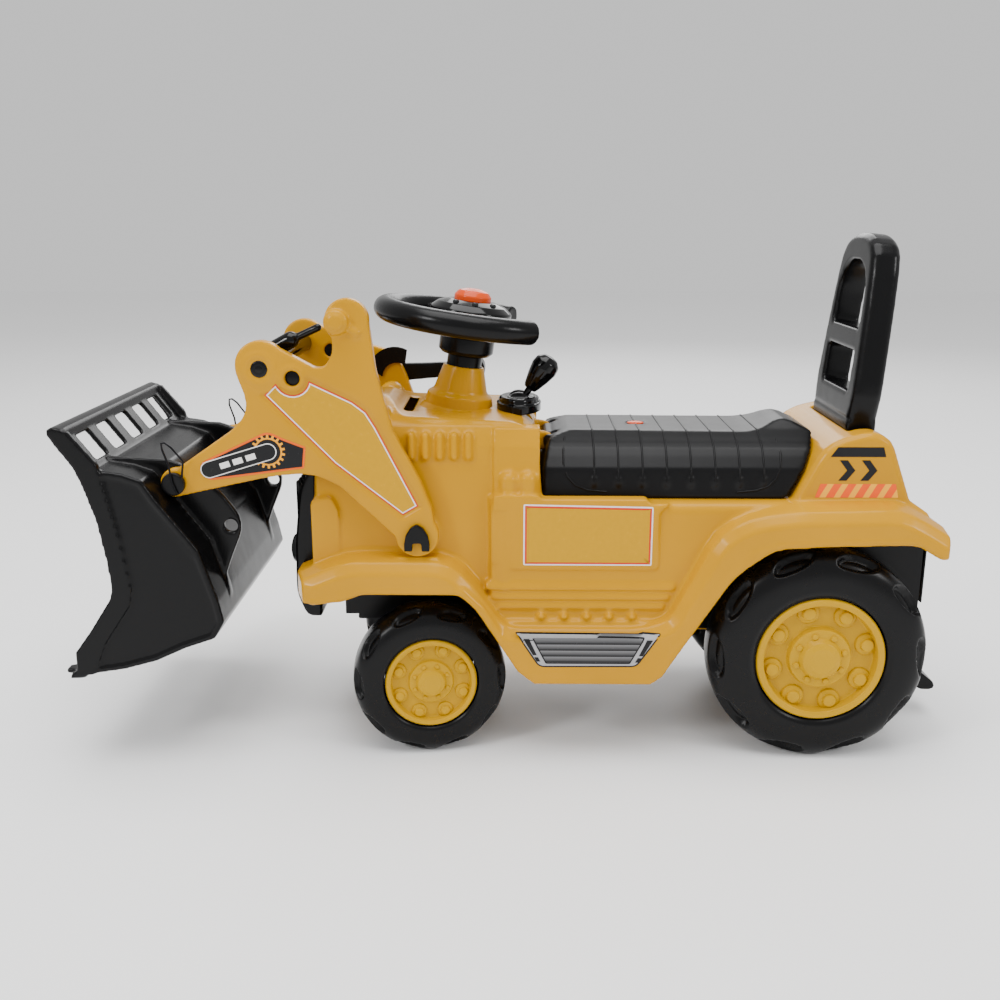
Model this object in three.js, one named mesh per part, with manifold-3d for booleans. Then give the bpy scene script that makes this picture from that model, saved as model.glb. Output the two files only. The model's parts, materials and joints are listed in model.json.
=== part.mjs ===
// A ride-on digger for a small child: a hollow moulded body on four wheels, steered in front, with a
// storage well under the seat and a bucket on two boom plates.
// Millimetres. +X is forward, +Y is the rider's left, +Z is up. Lengths along X are counted from the
// rear axle, and the finished group is moved so that its origin is under the middle of the object.
import * as THREE from "three";
import { mergeVertices } from "three/addons/utils/BufferGeometryUtils.js";
import Module from "manifold-3d";

// ---------------------------------------------------------------- driving dimensions
const WHEELBASE = 353;
const REAR_TO_MIDDLE = 263.5; // rear axle to the middle of the overall length
const GAP = 0.3; // between pieces that touch
const RUNNING = 0.3; // between a turning piece and what it turns in

const rear = { radius: 97.5, width: 50, rim: 56.5, middle: 84, face: 114, axle: 5 };
const front = { radius: 69.5, width: 44, rim: 41, middle: 80, face: 104, axle: 5 };
const WHEEL_SIDES = 24;

const BODY_HALF = 115; // to the outside of the fenders
const SIDE_HALF = 96; // side walls below the seat
const HOOD_HALF = 88; // hood at its foot
const HOOD_REAR = 247;
const HOOD_FRONT = 448;
const DECK_Z = 305; // top of the hood
const SILL_Z = 236; // where the seat rests
const ROCKER_Z = 75; // lowest edge of the body
const SPINE_HALF = 34; // narrow part between the front wheels
const REAR_SPINE_HALF = 52; // narrow part between the rear wheels
const WALL = 3.5;
const WELL = { x: [44, 222], half: 48, floor: 112 };

const STEER_TILT = THREE.MathUtils.degToRad(8); // the column leans back
const STEER_REST = THREE.MathUtils.degToRad(8); // the wheels are turned a little to the left
const COLUMN = { x: 316, z: 357 }; // a point of the column's axis
const WHEEL_HEIGHT = 29; // steering wheel above that point
const GRIP = { radius: 77, tube: 11, open: 104 }; // rim, its thickness and its opening in degrees
const KINGPIN_Y = 44;
const CRANK = 28; // steering crank and both knuckle arms

const PIVOT = { x: 355, z: 208 }; // boom on the body
const BUCKET_PIN = { x: 562, z: 255 }; // bucket on the boom
const BOOM = { inner: 92, outer: 104 };
const BUCKET_HALF = 128;

const SEAT_HALF = 79;
const SEAT_HINGE = { x: 242, z: 279 };
const LEVER = { x: 267, z: 307, lean: THREE.MathUtils.degToRad(-35) };
const BACK = { x: [-48, -22], half: 62, foot: 262, bend: 300, top: 462, lean: 5.5 };

// ---------------------------------------------------------------- finishes
const finish = (color, roughness, metalness = 0) =>
  new THREE.MeshStandardMaterial({ color, roughness, metalness });
const YELLOW = finish(0xf4b40f, 0.32);
const BLACK = finish(0x17171a, 0.34);
const GLOSS = finish(0x0c0c0e, 0.12);
const TYRE = finish(0x151516, 0.48);
const RIM = finish(0xefc822, 0.36);
const ORANGE = finish(0xf06a1e, 0.3);
const GREY = finish(0x6f7276, 0.35);
const STEEL = finish(0xb9bcc0, 0.3, 0.9);
const WIRE = finish(0x2b2b2e, 0.35, 0.8);

// ---------------------------------------------------------------- solids
const wasm = await Module();
wasm.setup();

/** A closed geometry as a solid that can be joined and cut. */
function solid(geometry) {
  const g = geometry.index ? geometry.toNonIndexed() : geometry;
  g.deleteAttribute("normal");
  g.deleteAttribute("uv");
  const merged = mergeVertices(g, 1e-4);
  const vertProperties = merged.attributes.position.array;
  return new wasm.Manifold(
    new wasm.Mesh({ numProp: 3, vertProperties, triVerts: new Uint32Array(merged.index.array) }),
  );
}

const join = (...solids) => solids.reduce((a, b) => a.add(b));
const cut = (from, ...solids) => solids.reduce((a, b) => a.subtract(b), from);
const common = (...solids) => solids.reduce((a, b) => a.intersect(b));

/** A solid as a named mesh. */
function part(name, shape, material) {
  const made = shape.getMesh();
  const geometry = new THREE.BufferGeometry();
  geometry.setAttribute("position", new THREE.BufferAttribute(made.vertProperties, made.numProp));
  geometry.setIndex(new THREE.BufferAttribute(made.triVerts, 1));
  const mesh = new THREE.Mesh(geometry, material);
  mesh.name = name;
  return mesh;
}

/** A closed outline through corners [u, v, rounding]. */
function outline(corners) {
  const shape = new THREE.Shape();
  const at = (i) => new THREE.Vector2(...corners[(i + corners.length) % corners.length]);
  corners.forEach(([u, v, rounding = 0], i) => {
    const back = at(i - 1).sub(at(i));
    const on = at(i + 1).sub(at(i));
    back.setLength(Math.min(rounding, back.length() / 2));
    on.setLength(Math.min(rounding, on.length() / 2));
    if (i === 0) shape.moveTo(u + back.x, v + back.y);
    else shape.lineTo(u + back.x, v + back.y);
    if (rounding > 0) shape.quadraticCurveTo(u, v, u + on.x, v + on.y);
  });
  shape.closePath();
  return shape;
}

const asShape = (corners) => (corners instanceof THREE.Shape ? corners : outline(corners));

/** An outline pushed from low to high along its normal, its ends drawn in by bevel over rise. */
function pushed(corners, low, high, { bevel = 0, rise = bevel, steps = 1, curve = 2 } = {}) {
  const geometry = new THREE.ExtrudeGeometry(asShape(corners), {
    depth: high - low - 2 * rise,
    steps: 1,
    curveSegments: curve,
    bevelEnabled: bevel > 0,
    bevelThickness: rise,
    bevelSize: bevel,
    bevelOffset: -bevel,
    bevelSegments: steps,
  });
  return geometry.translate(0, 0, low + rise);
}

/** An outline in X and Z, pushed along Y. */
const alongY = (corners, low, high, bevel) =>
  solid(pushed(corners, -high, -low, bevel).rotateX(Math.PI / 2));

/** An outline in Y and Z, pushed along X. */
function alongX(corners, low, high, bevel) {
  const turn = new THREE.Matrix4().makeBasis(
    new THREE.Vector3(0, 1, 0),
    new THREE.Vector3(0, 0, 1),
    new THREE.Vector3(1, 0, 0),
  );
  return solid(pushed(corners, low, high, bevel).applyMatrix4(turn));
}

/** An outline in X and Y, pushed along Z. */
const alongZ = (corners, low, high, bevel) => solid(pushed(corners, low, high, bevel));

/** The two halves of a symmetric outline: right-hand corners given from the bottom up. */
const mirrored = (corners) => [...corners, ...corners.map(([u, v, r]) => [-u, v, r]).reverse()];

/** A box between two corners. */
function block([x0, x1], [y0, y1], [z0, z1]) {
  const geometry = new THREE.BoxGeometry(x1 - x0, y1 - y0, z1 - z0);
  return solid(geometry.translate((x0 + x1) / 2, (y0 + y1) / 2, (z0 + z1) / 2));
}

/** A profile [radius, height] turned about Z. */
function turned(profile, sides = 20) {
  const points = profile.map(([r, h]) => new THREE.Vector2(r, h));
  return solid(new THREE.LatheGeometry(points, sides).rotateX(Math.PI / 2));
}

/** A round bar along Z. */
const bar = (radius, low, high, sides = 12) => {
  const geometry = new THREE.CylinderGeometry(radius, radius, high - low, sides);
  return solid(geometry.rotateX(Math.PI / 2).translate(0, 0, (low + high) / 2));
};

/** A round bar along Y at a place in X and Z. */
const barY = (radius, x, z, low, high, sides = 12) => {
  const geometry = new THREE.CylinderGeometry(radius, radius, high - low, sides);
  return solid(geometry.translate(x, (low + high) / 2, z));
};

/** A round wire or tube with a flat end at each end of a path. */
function wire(path, radius, steps, sides = 8) {
  const section = new THREE.Shape().absarc(0, 0, radius, 0, 2 * Math.PI);
  const settings = { extrudePath: path, steps, curveSegments: sides, bevelEnabled: false };
  return solid(new THREE.ExtrudeGeometry(section, settings));
}

/** A range of Y on the left (1) or right (-1) side. */
const onSide = (side, inner, outer) => (side > 0 ? [inner, outer] : [-outer, -inner]);
const SIDES = [["left", 1], ["right", -1]];

// ---------------------------------------------------------------- body
/** Where the column's axis passes a height. */
const columnX = (z) => COLUMN.x + (COLUMN.z - z) * Math.tan(STEER_TILT);

/** Places a solid built about Z on the leaning steering column. */
function onColumn(shape) {
  const mesh = part("", shape, YELLOW);
  mesh.geometry.rotateY(-STEER_TILT).translate(COLUMN.x, 0, COLUMN.z);
  return solid(mesh.geometry);
}

/** Edge of the rear wheel arch, from the tail to the rocker. */
const REAR_ARCH = [
  [-103, 192], [-97, 191], [-75, 204, 8], [-8, 203], [47, 200, 10], [80, 176, 12], [141, 81, 8],
  [150, ROCKER_Z],
];
/** Edge of the front wheel arch, from the rocker to the nose. */
const FRONT_ARCH = [
  [253, ROCKER_Z], [266, 85, 6], [304, 144, 8], [318, 158, 8], [405, 158, 8], [422, 151], [464, 148],
];

function bodyShell() {
  const hood = common(
    alongY(
      [
        [HOOD_REAR, 150], [HOOD_REAR, 240], [250, 286, 8], [262, DECK_Z - 2, 12], [372, DECK_Z + 2, 6],
        [386, DECK_Z + 15, 10], [400, DECK_Z + 14, 10], [428, 292, 16], [HOOD_FRONT, 255, 12],
        [HOOD_FRONT, 150],
      ],
      -100,
      100,
    ),
    alongX(
      mirrored(
        [
          [HOOD_HALF + 3, 150], [HOOD_HALF, 200], [HOOD_HALF - 5, 284], [HOOD_HALF - 10, 302, 8],
          [50, 312, 20], [12, 322],
        ],
      ),
      240,
      460,
    ),
    alongZ(
      [[HOOD_REAR - 4, -94], [HOOD_FRONT, -94, 20], [HOOD_FRONT, 94, 20], [HOOD_REAR - 4, 94]],
      140,
      340,
    ),
  );
  const skirt = common(
    alongY(
      [
        [480, 50], [480, 164], [452, 176, 10], [418, 190, 12], [335, 190, 12], [314, 180, 16],
        [277, 129, 10], [160, 129, 10], [138, 136, 6], [98, 214, 16], [70, 230, 14],
        [30, SILL_Z, 14], [-60, SILL_Z + 2, 14], [-84, 226, 10], [-120, 204], [-120, 50],
      ],
      -BODY_HALF,
      BODY_HALF,
      { bevel: 13, rise: 24, steps: 2 },
    ),
    alongZ(
      [[-103, -120, 12], [464, -120, 34], [464, 120, 34], [-103, 120, 12]],
      ROCKER_Z,
      260,
    ),
  );
  const middle = alongX(
    mirrored(
      [
        [SIDE_HALF + 2, 118], [SIDE_HALF + 1, 180], [SIDE_HALF - 2, SILL_Z - 4, 4],
        [SIDE_HALF - 7, SILL_Z, 4],
      ],
    ),
    15,
    292,
  );
  const panel = alongY(
    [
      [136, 236], [152, 220], [152, 180, 4], [292, 180, 4], [292, SILL_Z + 3, 8],
      [268, SILL_Z + 4], [262, 236],
    ],
    -SIDE_HALF - 2,
    SIDE_HALF + 2,
    { bevel: 2 },
  );
  const hump = alongY(
    [
      [34, 200], [30, 232], [5, 282, 10], [-12, 292, 8], [-38, 298, 8], [-54, 290, 8], [-74, 236],
      [-92, 224], [-92, 200],
    ],
    -87,
    87,
    { bevel: 4 },
  );
  const mounts = SIDES.map(([, side]) =>
    alongY(
      [[331, 166], [337, 189], [373, 189], [384, 166]],
      ...onSide(side, 70, BOOM.outer - 1),
    ),
  );
  const bosses = SIDES.map(([, side]) =>
    barY(17, PIVOT.x, PIVOT.z, ...onSide(side, 70, BOOM.inner - 0.5), 20),
  );
  const plinths = SIDES.map(([, side]) =>
    block([258, 282], onSide(side, 60, HOOD_HALF + 3), [SILL_Z, SILL_Z + 6]),
  );
  const tower = onColumn(
    turned([[0, -70], [37, -70], [36, -56], [31, -52], [26, -38], [24, -38], [18, -15], [0, -15]]),
  );
  const lugs = [-1, 1].map((side) =>
    alongY(
      [[252, 270], [236, 270, 5], [236, 285, 5], [252, 288]],
      ...onSide(side, 24, 30),
    ),
  );
  const outer = join(hood, skirt, middle, panel, hump, ...mounts, ...bosses, ...plinths, tower);
  return part(
    "body_shell",
    join(cut(outer, ...bodyHollows()), ...lugs.map((lug) => cut(lug, seatPinHole()))),
    YELLOW,
  );
}

const seatPinHole = () => barY(2.5 + RUNNING, SEAT_HINGE.x, SEAT_HINGE.z, -90, 90, 12);

/** Everything that is cut out of the body. */
function bodyHollows() {
  const arches = SIDES.flatMap(([, side]) => [
    alongY(
      [...REAR_ARCH, [150, 40], [-130, 40], [-130, 192]],
      ...onSide(side, REAR_SPINE_HALF + 2, 130),
    ),
    alongY([...FRONT_ARCH, [490, 148], [490, 40], [253, 40]], ...onSide(side, SPINE_HALF + 2, 130)),
    block([-88, 46], onSide(side, REAR_SPINE_HALF + 2, BODY_HALF - 9), [190, 216]),
    block([46, 149], onSide(side, REAR_SPINE_HALF - 12, REAR_SPINE_HALF + 8), [60, 103]),
    block([322, 402], onSide(side, SPINE_HALF + 2, BODY_HALF - 9), [150, 171]),
    barY(4.3, PIVOT.x, PIVOT.z, ...onSide(side, 60, 120), 16),
  ]);
  const hoodInside = common(
    alongY(
      [
        [HOOD_REAR + WALL, 175], [HOOD_REAR + WALL + 2, 284], [268, DECK_Z - 8], [395, DECK_Z + 4],
        [424, 290], [HOOD_FRONT - WALL, 250], [HOOD_FRONT - WALL, 175],
      ],
      -100,
      100,
    ),
    alongX(
      mirrored(
        [[HOOD_HALF - 2, 175], [HOOD_HALF - 4, 200], [HOOD_HALF - 9, 282], [60, 302], [12, 310]],
      ),
      240,
      460,
    ),
  );
  const spine = join(
    block([252, HOOD_FRONT - WALL], [-SPINE_HALF + 2, SPINE_HALF - 2], [60, 180]),
    block([262, 500], [-SPINE_HALF - 2, SPINE_HALF + 2], [40, 141]),
  );
  const rocker = alongY(
    [[251, 60], [251, 77], [264, 91], [294, 138], [294, 146], [108, 146], [146, 84], [152, 60]],
    -92,
    92,
  );
  const rearInside = join(
    block([-90, 40], [-REAR_SPINE_HALF + 2, REAR_SPINE_HALF - 2], [60, 226]),
    block([-130, -80], [-REAR_SPINE_HALF - 3, REAR_SPINE_HALF + 3], [40, 188]),
    alongY([[-70, 222], [20, 222], [-4, 274], [-14, 282], [-44, 284], [-62, 240]], -82, 82),
  );
  const sides = SIDES.map(([, side]) =>
    block([112, 243], onSide(side, WELL.half + 4, SIDE_HALF - 6), [90, SILL_Z - 6]),
  );
  const well = block(WELL.x, [-WELL.half, WELL.half], [WELL.floor, SILL_Z + 60]);
  const wellUnder = block(
    [32, 252],
    [-REAR_SPINE_HALF + 2, REAR_SPINE_HALF - 2],
    [60, WELL.floor - WALL],
  );
  const grille = block([HOOD_FRONT, 500], [-63, 63], [60, 262]);
  const column = onColumn(bar(16.4, -48, 40, 24));
  const shaft = onColumn(bar(7, -200, 40, 16));
  const socket = backSocket();
  const pin = rearAxleHole();
  return [
    ...arches, ...sides, hoodInside, spine, rocker, rearInside, wellUnder, well, grille, column, shaft, socket, pin,
    ...gearHoles(),
  ];
}

const rearAxleHole = () => barY(rear.axle + RUNNING, 0, rear.radius, -130, 130, 20);

/** The slot in the rear hump that the backrest's foot plugs into. */
const backSocket = () => block(
  [BACK.x[0] - GAP, BACK.x[1] + GAP],
  [-BACK.half - GAP, BACK.half + GAP],
  [BACK.foot - GAP, 320],
);

/** The hole under the gear lever. */
const gearHoles = () => [
  barY(9, LEVER.x, LEVER.z - 6, -9, 9, 16),
  block([254, 280], [-6, 6], [290, 330]),
];

/** The black nose between the front fenders, with a recess for each headlamp. */
function frontGrille() {
  const nose = alongY(
    [
      [HOOD_FRONT + GAP, 118], [462, 118, 6], [471, 140, 8], [470, 190, 10], [464, 238, 12],
      [456, 256, 8], [HOOD_FRONT + GAP, 260],
    ],
    -62,
    62,
    { bevel: 2, curve: 3 },
  );
  const recesses = [-1, 1].map((side) => headlampPlace(side, bar(15.5, -2, 20, 20)));
  return part("front_grille", cut(nose, ...recesses), BLACK);
}

/** Puts a solid built about Z on the nose, looking forward. */
function headlampPlace(side, shape) {
  const mesh = part("", shape, GREY);
  mesh.geometry.rotateY(Math.PI / 2).translate(464, side * 40, 178);
  return solid(mesh.geometry);
}

function headlamps() {
  return SIDES.map(([word, side]) =>
    part(
      `headlamp_${word}`,
      headlampPlace(side, turned([[0, -1.5], [15, -1.5], [15, 7], [12, 11], [6, 13], [0, 13.5]], 20)),
      GREY,
    ),
  );
}

/** The black tray under the body, which carries the axles. */
function chassisPan() {
  const nose = alongY(
    [[300, 104], [300, 140], [432, 140], [428, 130], [414, 104]],
    -SPINE_HALF + 3,
    SPINE_HALF - 3,
  );
  const frontSpine = block([236, 420], [-SPINE_HALF + 3, SPINE_HALF - 3], [104, 108]);
  const centre = join(
    block([160, 246], [-88, 88], [80, 84]),
    alongY(
      [[150, 80], [246, 80], [262, 104], [262, 108], [240, 108], [150, 84]],
      -SPINE_HALF + 3,
      SPINE_HALF - 3,
    ),
  );
  const tail = cut(
    alongY(
      [
        [-86, 176], [-82, 140, 10], [-56, 84, 10], [38, 84, 6], [56, 104], [246, 104], [246, 108],
        [36, 108], [36, 150], [-60, 150], [-60, 176],
      ],
      -REAR_SPINE_HALF + 4,
      REAR_SPINE_HALF - 4,
    ),
    alongY(
      [[-80, 200], [-77, 142], [-52, 89], [32, 88], [32, 200]],
      -REAR_SPINE_HALF + 8,
      REAR_SPINE_HALF - 8,
    ),
  );
  const trough = cut(
    nose,
    alongY([[304, 108], [304, 150], [440, 150], [410, 108]], -SPINE_HALF + 7, SPINE_HALF - 7),
  );
  const pan = join(trough, frontSpine, centre, tail);
  const shaft = onColumn(bar(4 + 2 * RUNNING, -320, 0, 16));
  const feet = [-1, 1].map((side) => bar(3, 90, 120).translate([WHEELBASE, side * 24, 0]));
  return part("chassis_pan", cut(pan, shaft, rearAxleHole(), ...feet), BLACK);
}

// ---------------------------------------------------------------- wheels
/** Tyre about Y, its middle at Y 0. */
function tyreSolid({ radius, width, rim }) {
  const half = width / 2;
  const crown = radius - 5;
  const wall = (radius + rim) / 2 + 6;
  return turned(
    [
      [rim, -half + 3], [rim + 6, -half], [wall, -half - 1], [crown, -half + 6], [radius, -half * 0.5],
      [radius, half * 0.5], [crown, half - 6], [wall, half + 1], [rim + 6, half], [rim, half - 3],
      [rim, -half + 3],
    ],
    WHEEL_SIDES,
  );
}

/** Rim about the wheel's axis: a dish with a raised ring, a hub and a bore. */
function rimSolid({ rim, width, axle, face, middle }) {
  const edge = rim - GAP;
  const half = width / 2;
  const out = face - middle;
  const bore = axle + RUNNING;
  return turned(
    [
      [bore, -half + 2], [16, -half + 2], [18, 2], [edge - 10, 2], [edge - 5, -half + 4],
      [edge, -half + 4],
      [edge, half - 2], [edge - 4, half - 1], [edge - 9, half - 7], [rim * 0.6, out - 10],
      [rim * 0.57, out - 4], [rim * 0.33, out - 4], [rim * 0.33, out - 10], [bore, out - 10],
      [bore, -half + 2],
    ],
    WHEEL_SIDES,
  );
}

/** Push nut that keeps a wheel on its axle. */
const pushNut = ({ axle }, out) => turned(
  [
    [axle + GAP, out - 9.7], [9, out - 9.7], [9, out - 8], [axle + GAP, out - 7],
    [axle + GAP, out - 9.7],
  ],
  12,
);

/** Domed cap that closes the hub. */
function capSolid({ rim }, out) {
  const r = rim * 0.33 - GAP;
  return turned(
    [
      [0, out - 4], [r - 3, out - 4], [r - 3, out - 8], [r, out - 8], [r, out - 1.5],
      [r - 4, out], [0, out],
    ],
    14,
  );
}

/** Tyre, rim, push nut and cap in a group about Z, which is then laid on the axle. */
function wheel(word, size, side, x, y) {
  const group = new THREE.Group();
  const out = size.face - size.middle;
  group.add(part(`tyre_${word}`, tyreSolid(size), TYRE));
  group.add(part(`rim_${word}`, rimSolid(size), RIM));
  group.add(part(`push_nut_${word}`, pushNut(size, out), STEEL));
  group.add(part(`hub_cap_${word}`, capSolid(size, out), RIM));
  group.rotation.x = side > 0 ? -Math.PI / 2 : Math.PI / 2;
  group.position.set(x, y, size.radius);
  return group;
}

function rearAxle() {
  const reach = rear.face - 5.5;
  return part("rear_axle", barY(rear.axle, 0, rear.radius, -reach, reach, 20), STEEL);
}

// ---------------------------------------------------------------- steering
/** Black beam across the front, forked from below to the pan, with a kingpin eye at each end. */
function frontBeam() {
  const z = front.radius;
  const bars = join(
    block([WHEELBASE - 8, WHEELBASE + 8], [-KINGPIN_Y, KINGPIN_Y], [z - 7, z + 7]),
    ...[-1, 1].map((side) => bar(10, z - 7, z + 7, 20).translate([WHEELBASE, side * KINGPIN_Y, 0])),
    ...[-1, 1].map((side) =>
      block([WHEELBASE - 8, WHEELBASE + 8], onSide(side, 18, 28), [z, 104 - GAP]),
    ),
    ...[-1, 1].map((side) => bar(2.7, 100, 109).translate([WHEELBASE, side * 24, 0])),
  );
  const kingpins = [-1, 1].map((side) =>
    bar(3 + RUNNING, 0, 200).translate([WHEELBASE, side * KINGPIN_Y, 0]),
  );
  return part(
    "front_axle_beam",
    cut(bars, ...kingpins, onColumn(bar(4 + RUNNING, -330, 0, 16))),
    BLACK,
  );
}

function kingpins() {
  const z = front.radius;
  return SIDES.map(([word, side]) => {
    const pin = turned(
      [
        [0, z - 18], [5, z - 18], [5, z - 15.3], [3, z - 15.3], [3, z + 15.3], [5, z + 15.3],
        [5, z + 18], [0, z + 18],
      ],
      16,
    );
    const mesh = part(`kingpin_${word}`, pin, STEEL);
    mesh.position.set(WHEELBASE, side * KINGPIN_Y, 0);
    return mesh;
  });
}

/** Fork that turns on the kingpin, with the stub axle outwards and the steering arm to the rear. */
function knuckle(word, side) {
  const z = front.radius;
  const reach = front.face - 5.5 - KINGPIN_Y;
  const fork = join(
    ...[[z + 7.5, z + 15], [z - 15, z - 7.5]].map(([low, high]) =>
      join(bar(8, low, high, 20), block([-8, 8], onSide(side, 0, 12.5), [low, high])),
    ),
    block([-8, 8], onSide(side, 10.5, 15), [z - 15, z + 15]),
    barY(front.axle, 0, z, ...onSide(side, 12, reach), 20),
  );
  const arm = join(
    alongZ([[0, -5], [-CRANK, -5, 4], [-CRANK - 5, 0, 2], [-CRANK, 5, 4], [0, 5]], z + 7.5, z + 12),
    bar(3, z + 8, z + 20).translate([-CRANK, 0, 0]),
  );
  return part(`knuckle_${word}`, cut(join(fork, arm), bar(3 + RUNNING, 0, 200)), BLACK);
}

/** Knuckle and wheel on one side, turned to the rest position about the kingpin. */
function frontCorner(word, side) {
  const group = new THREE.Group();
  group.position.set(WHEELBASE, side * KINGPIN_Y, 0);
  group.rotation.z = STEER_REST;
  group.add(knuckle(word, side));
  group.add(wheel(`front_${word}`, front, side, 0, side * (front.middle - KINGPIN_Y)));
  return group;
}

const CRANK_Z = 97; // height of the steering crank above the floor

/** Where the crank's pin stands at rest. */
function crankPin() {
  const along = new THREE.Vector3(-CRANK, 0, 0).applyAxisAngle(new THREE.Vector3(0, 0, 1), STEER_REST);
  along.applyAxisAngle(new THREE.Vector3(0, 1, 0), -STEER_TILT);
  return along.add(new THREE.Vector3(columnX(CRANK_Z), 0, CRANK_Z));
}

/** Plate that joins both knuckle arms to the steering crank. */
function tieRod() {
  const low = front.radius + 13;
  const high = low + 4;
  const pins = [-1, 1].map((side) => {
    const arm = new THREE.Vector3(-CRANK, 0, 0).applyAxisAngle(new THREE.Vector3(0, 0, 1), STEER_REST);
    return arm.add(new THREE.Vector3(WHEELBASE, side * KINGPIN_Y, 0));
  });
  const middle = crankPin();
  middle.x += (middle.z - (low + high) / 2) * Math.tan(STEER_TILT);
  const plate = join(
    block([pins[0].x - 5, pins[0].x + 5], [pins[0].y, pins[1].y], [low, high]),
    ...pins.map((p) => bar(7, low, high, 20).translate([p.x, p.y, 0])),
    bar(10, low, high, 20).translate([middle.x, middle.y, 0]),
    block(
      [Math.min(pins[0].x, middle.x), Math.max(pins[0].x, middle.x)],
      [middle.y - 8, middle.y + 8],
      [low, high],
    ),
  );
  const holes = [
    ...pins.map((p) => bar(3 + 2 * RUNNING, 0, 200).translate([p.x, p.y, 0])),
    bar(3 + 4 * RUNNING, 0, 200, 20).translate([middle.x, middle.y, 0]),
  ];
  return part("tie_rod", cut(plate, ...holes), STEEL);
}

/** Group whose Z is the column and whose X points forward along the plane of the steering wheel. */
function steering() {
  const group = new THREE.Group();
  group.position.set(COLUMN.x, 0, COLUMN.z);
  group.rotation.y = -STEER_TILT;
  const turn = new THREE.Group();
  turn.rotation.z = STEER_REST;
  group.add(turn);
  const foot = -(COLUMN.z - CRANK_Z) / Math.cos(STEER_TILT);
  const shaft = join(
    bar(4, foot - 28, WHEEL_HEIGHT - 4, 16),
    alongZ(
      [[6, -6, 3], [-CRANK, -6, 4], [-CRANK - 6, 0, 2], [-CRANK, 6, 4], [6, 6, 3]],
      foot - 3,
      foot + 3,
    ),
    bar(3, foot - 14, foot).translate([-CRANK, 0, 0]),
  );
  turn.add(part("steering_shaft", shaft, STEEL));
  const bore = bar(4 + GAP, -100, WHEEL_HEIGHT - 4 + GAP, 16);
  turn.add(part("steering_tube", cut(bar(16, -44, -4.3, 24), bore), BLACK));
  turn.add(
    part(
      "steering_collar",
      cut(turned([[0, -4], [22, -4], [25, -1], [25, 12], [22, 15.7], [0, 15.7]]), bore),
      BLACK,
    ),
  );
  turn.add(...steeringWheel(bore));
  return group;
}

/** Rim open to the rear, three spokes, hub, hub cover, horn, sound buttons and sound module. */
function steeringWheel(bore) {
  const { radius, tube, open } = GRIP;
  const half = Math.PI - THREE.MathUtils.degToRad(open) / 2;
  const points = [];
  for (let i = 0; i <= 28; i += 1) {
    const a = -half + (2 * half * i) / 28;
    points.push(new THREE.Vector3(radius * Math.cos(a), radius * Math.sin(a), WHEEL_HEIGHT));
  }
  const grip = wire(new THREE.CatmullRomCurve3(points), tube, 26, 4);
  const spokes = [-70, 0, 70].map((degrees) => {
    const spoke = alongX(
      [
        [-13, WHEEL_HEIGHT - 5], [13, WHEEL_HEIGHT - 5], [11, WHEEL_HEIGHT + 4],
        [-11, WHEEL_HEIGHT + 4],
      ],
      30,
      radius - 4,
    );
    return spoke.rotate([0, 0, degrees]);
  });
  const cup = turned(
    [[0, 16], [30, 16], [37, WHEEL_HEIGHT - 6], [37, WHEEL_HEIGHT + 4], [0, WHEEL_HEIGHT + 4]],
  );
  const room = turned(
    [[0, 19], [26, 19], [33, WHEEL_HEIGHT - 4], [33, WHEEL_HEIGHT + 5], [0, WHEEL_HEIGHT + 5]],
  );
  const post = bar(9, 17, WHEEL_HEIGHT - 3.5, 16);
  const body = cut(join(grip, ...spokes, cup), room);
  const top = WHEEL_HEIGHT + 4 + GAP;
  const hole = bar(17 + GAP, 0, 80, 24);
  const buttons = [0, 1, 2].map((i) =>
    new THREE.Vector3(26, 0, 0).applyAxisAngle(
      new THREE.Vector3(0, 0, 1),
      0.7 * (i - 1) + Math.PI / 2,
    ),
  );
  const buttonHoles = buttons.map((b) => bar(3 + GAP, 0, 80, 12).translate([b.x, b.y, 0]));
  const cover = cut(
    turned([[0, top], [37, top], [37, top + 4], [30, top + 9], [20, top + 12], [0, top + 13]]),
    turned([[0, top - 1], [33, top - 1], [33, top + 2], [28, top + 6], [18, top + 9], [0, top + 9]]),
    hole,
    ...buttonHoles,
  );
  const horn = turned(
    [
      [0, top - 2], [19.5, top - 2], [19.5, top + 4], [17, top + 4], [17, top + 16],
      [13, top + 21], [6, top + 23], [0, top + 23.5],
    ],
  );
  const module = cut(
    block([-17, 17], [-17, 17], [WHEEL_HEIGHT - 8.5, WHEEL_HEIGHT - 1]),
    bar(10, 0, 60, 16),
  );
  return [
    part("steering_wheel", cut(join(body, post), bore), BLACK),
    part("hub_cover", cover, BLACK),
    part("horn_button", horn, ORANGE),
    ...buttons.map((b, i) => {
      const mesh = part(
        `sound_button_${i + 1}`,
        turned([[0, top + 1], [3, top + 1], [3, top + 11], [2, top + 12.5], [0, top + 12.5]], 12),
        GREY,
      );
      mesh.position.set(b.x, b.y, 0);
      return mesh;
    }),
    part("sound_module", module, GREY),
  ];
}

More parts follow.
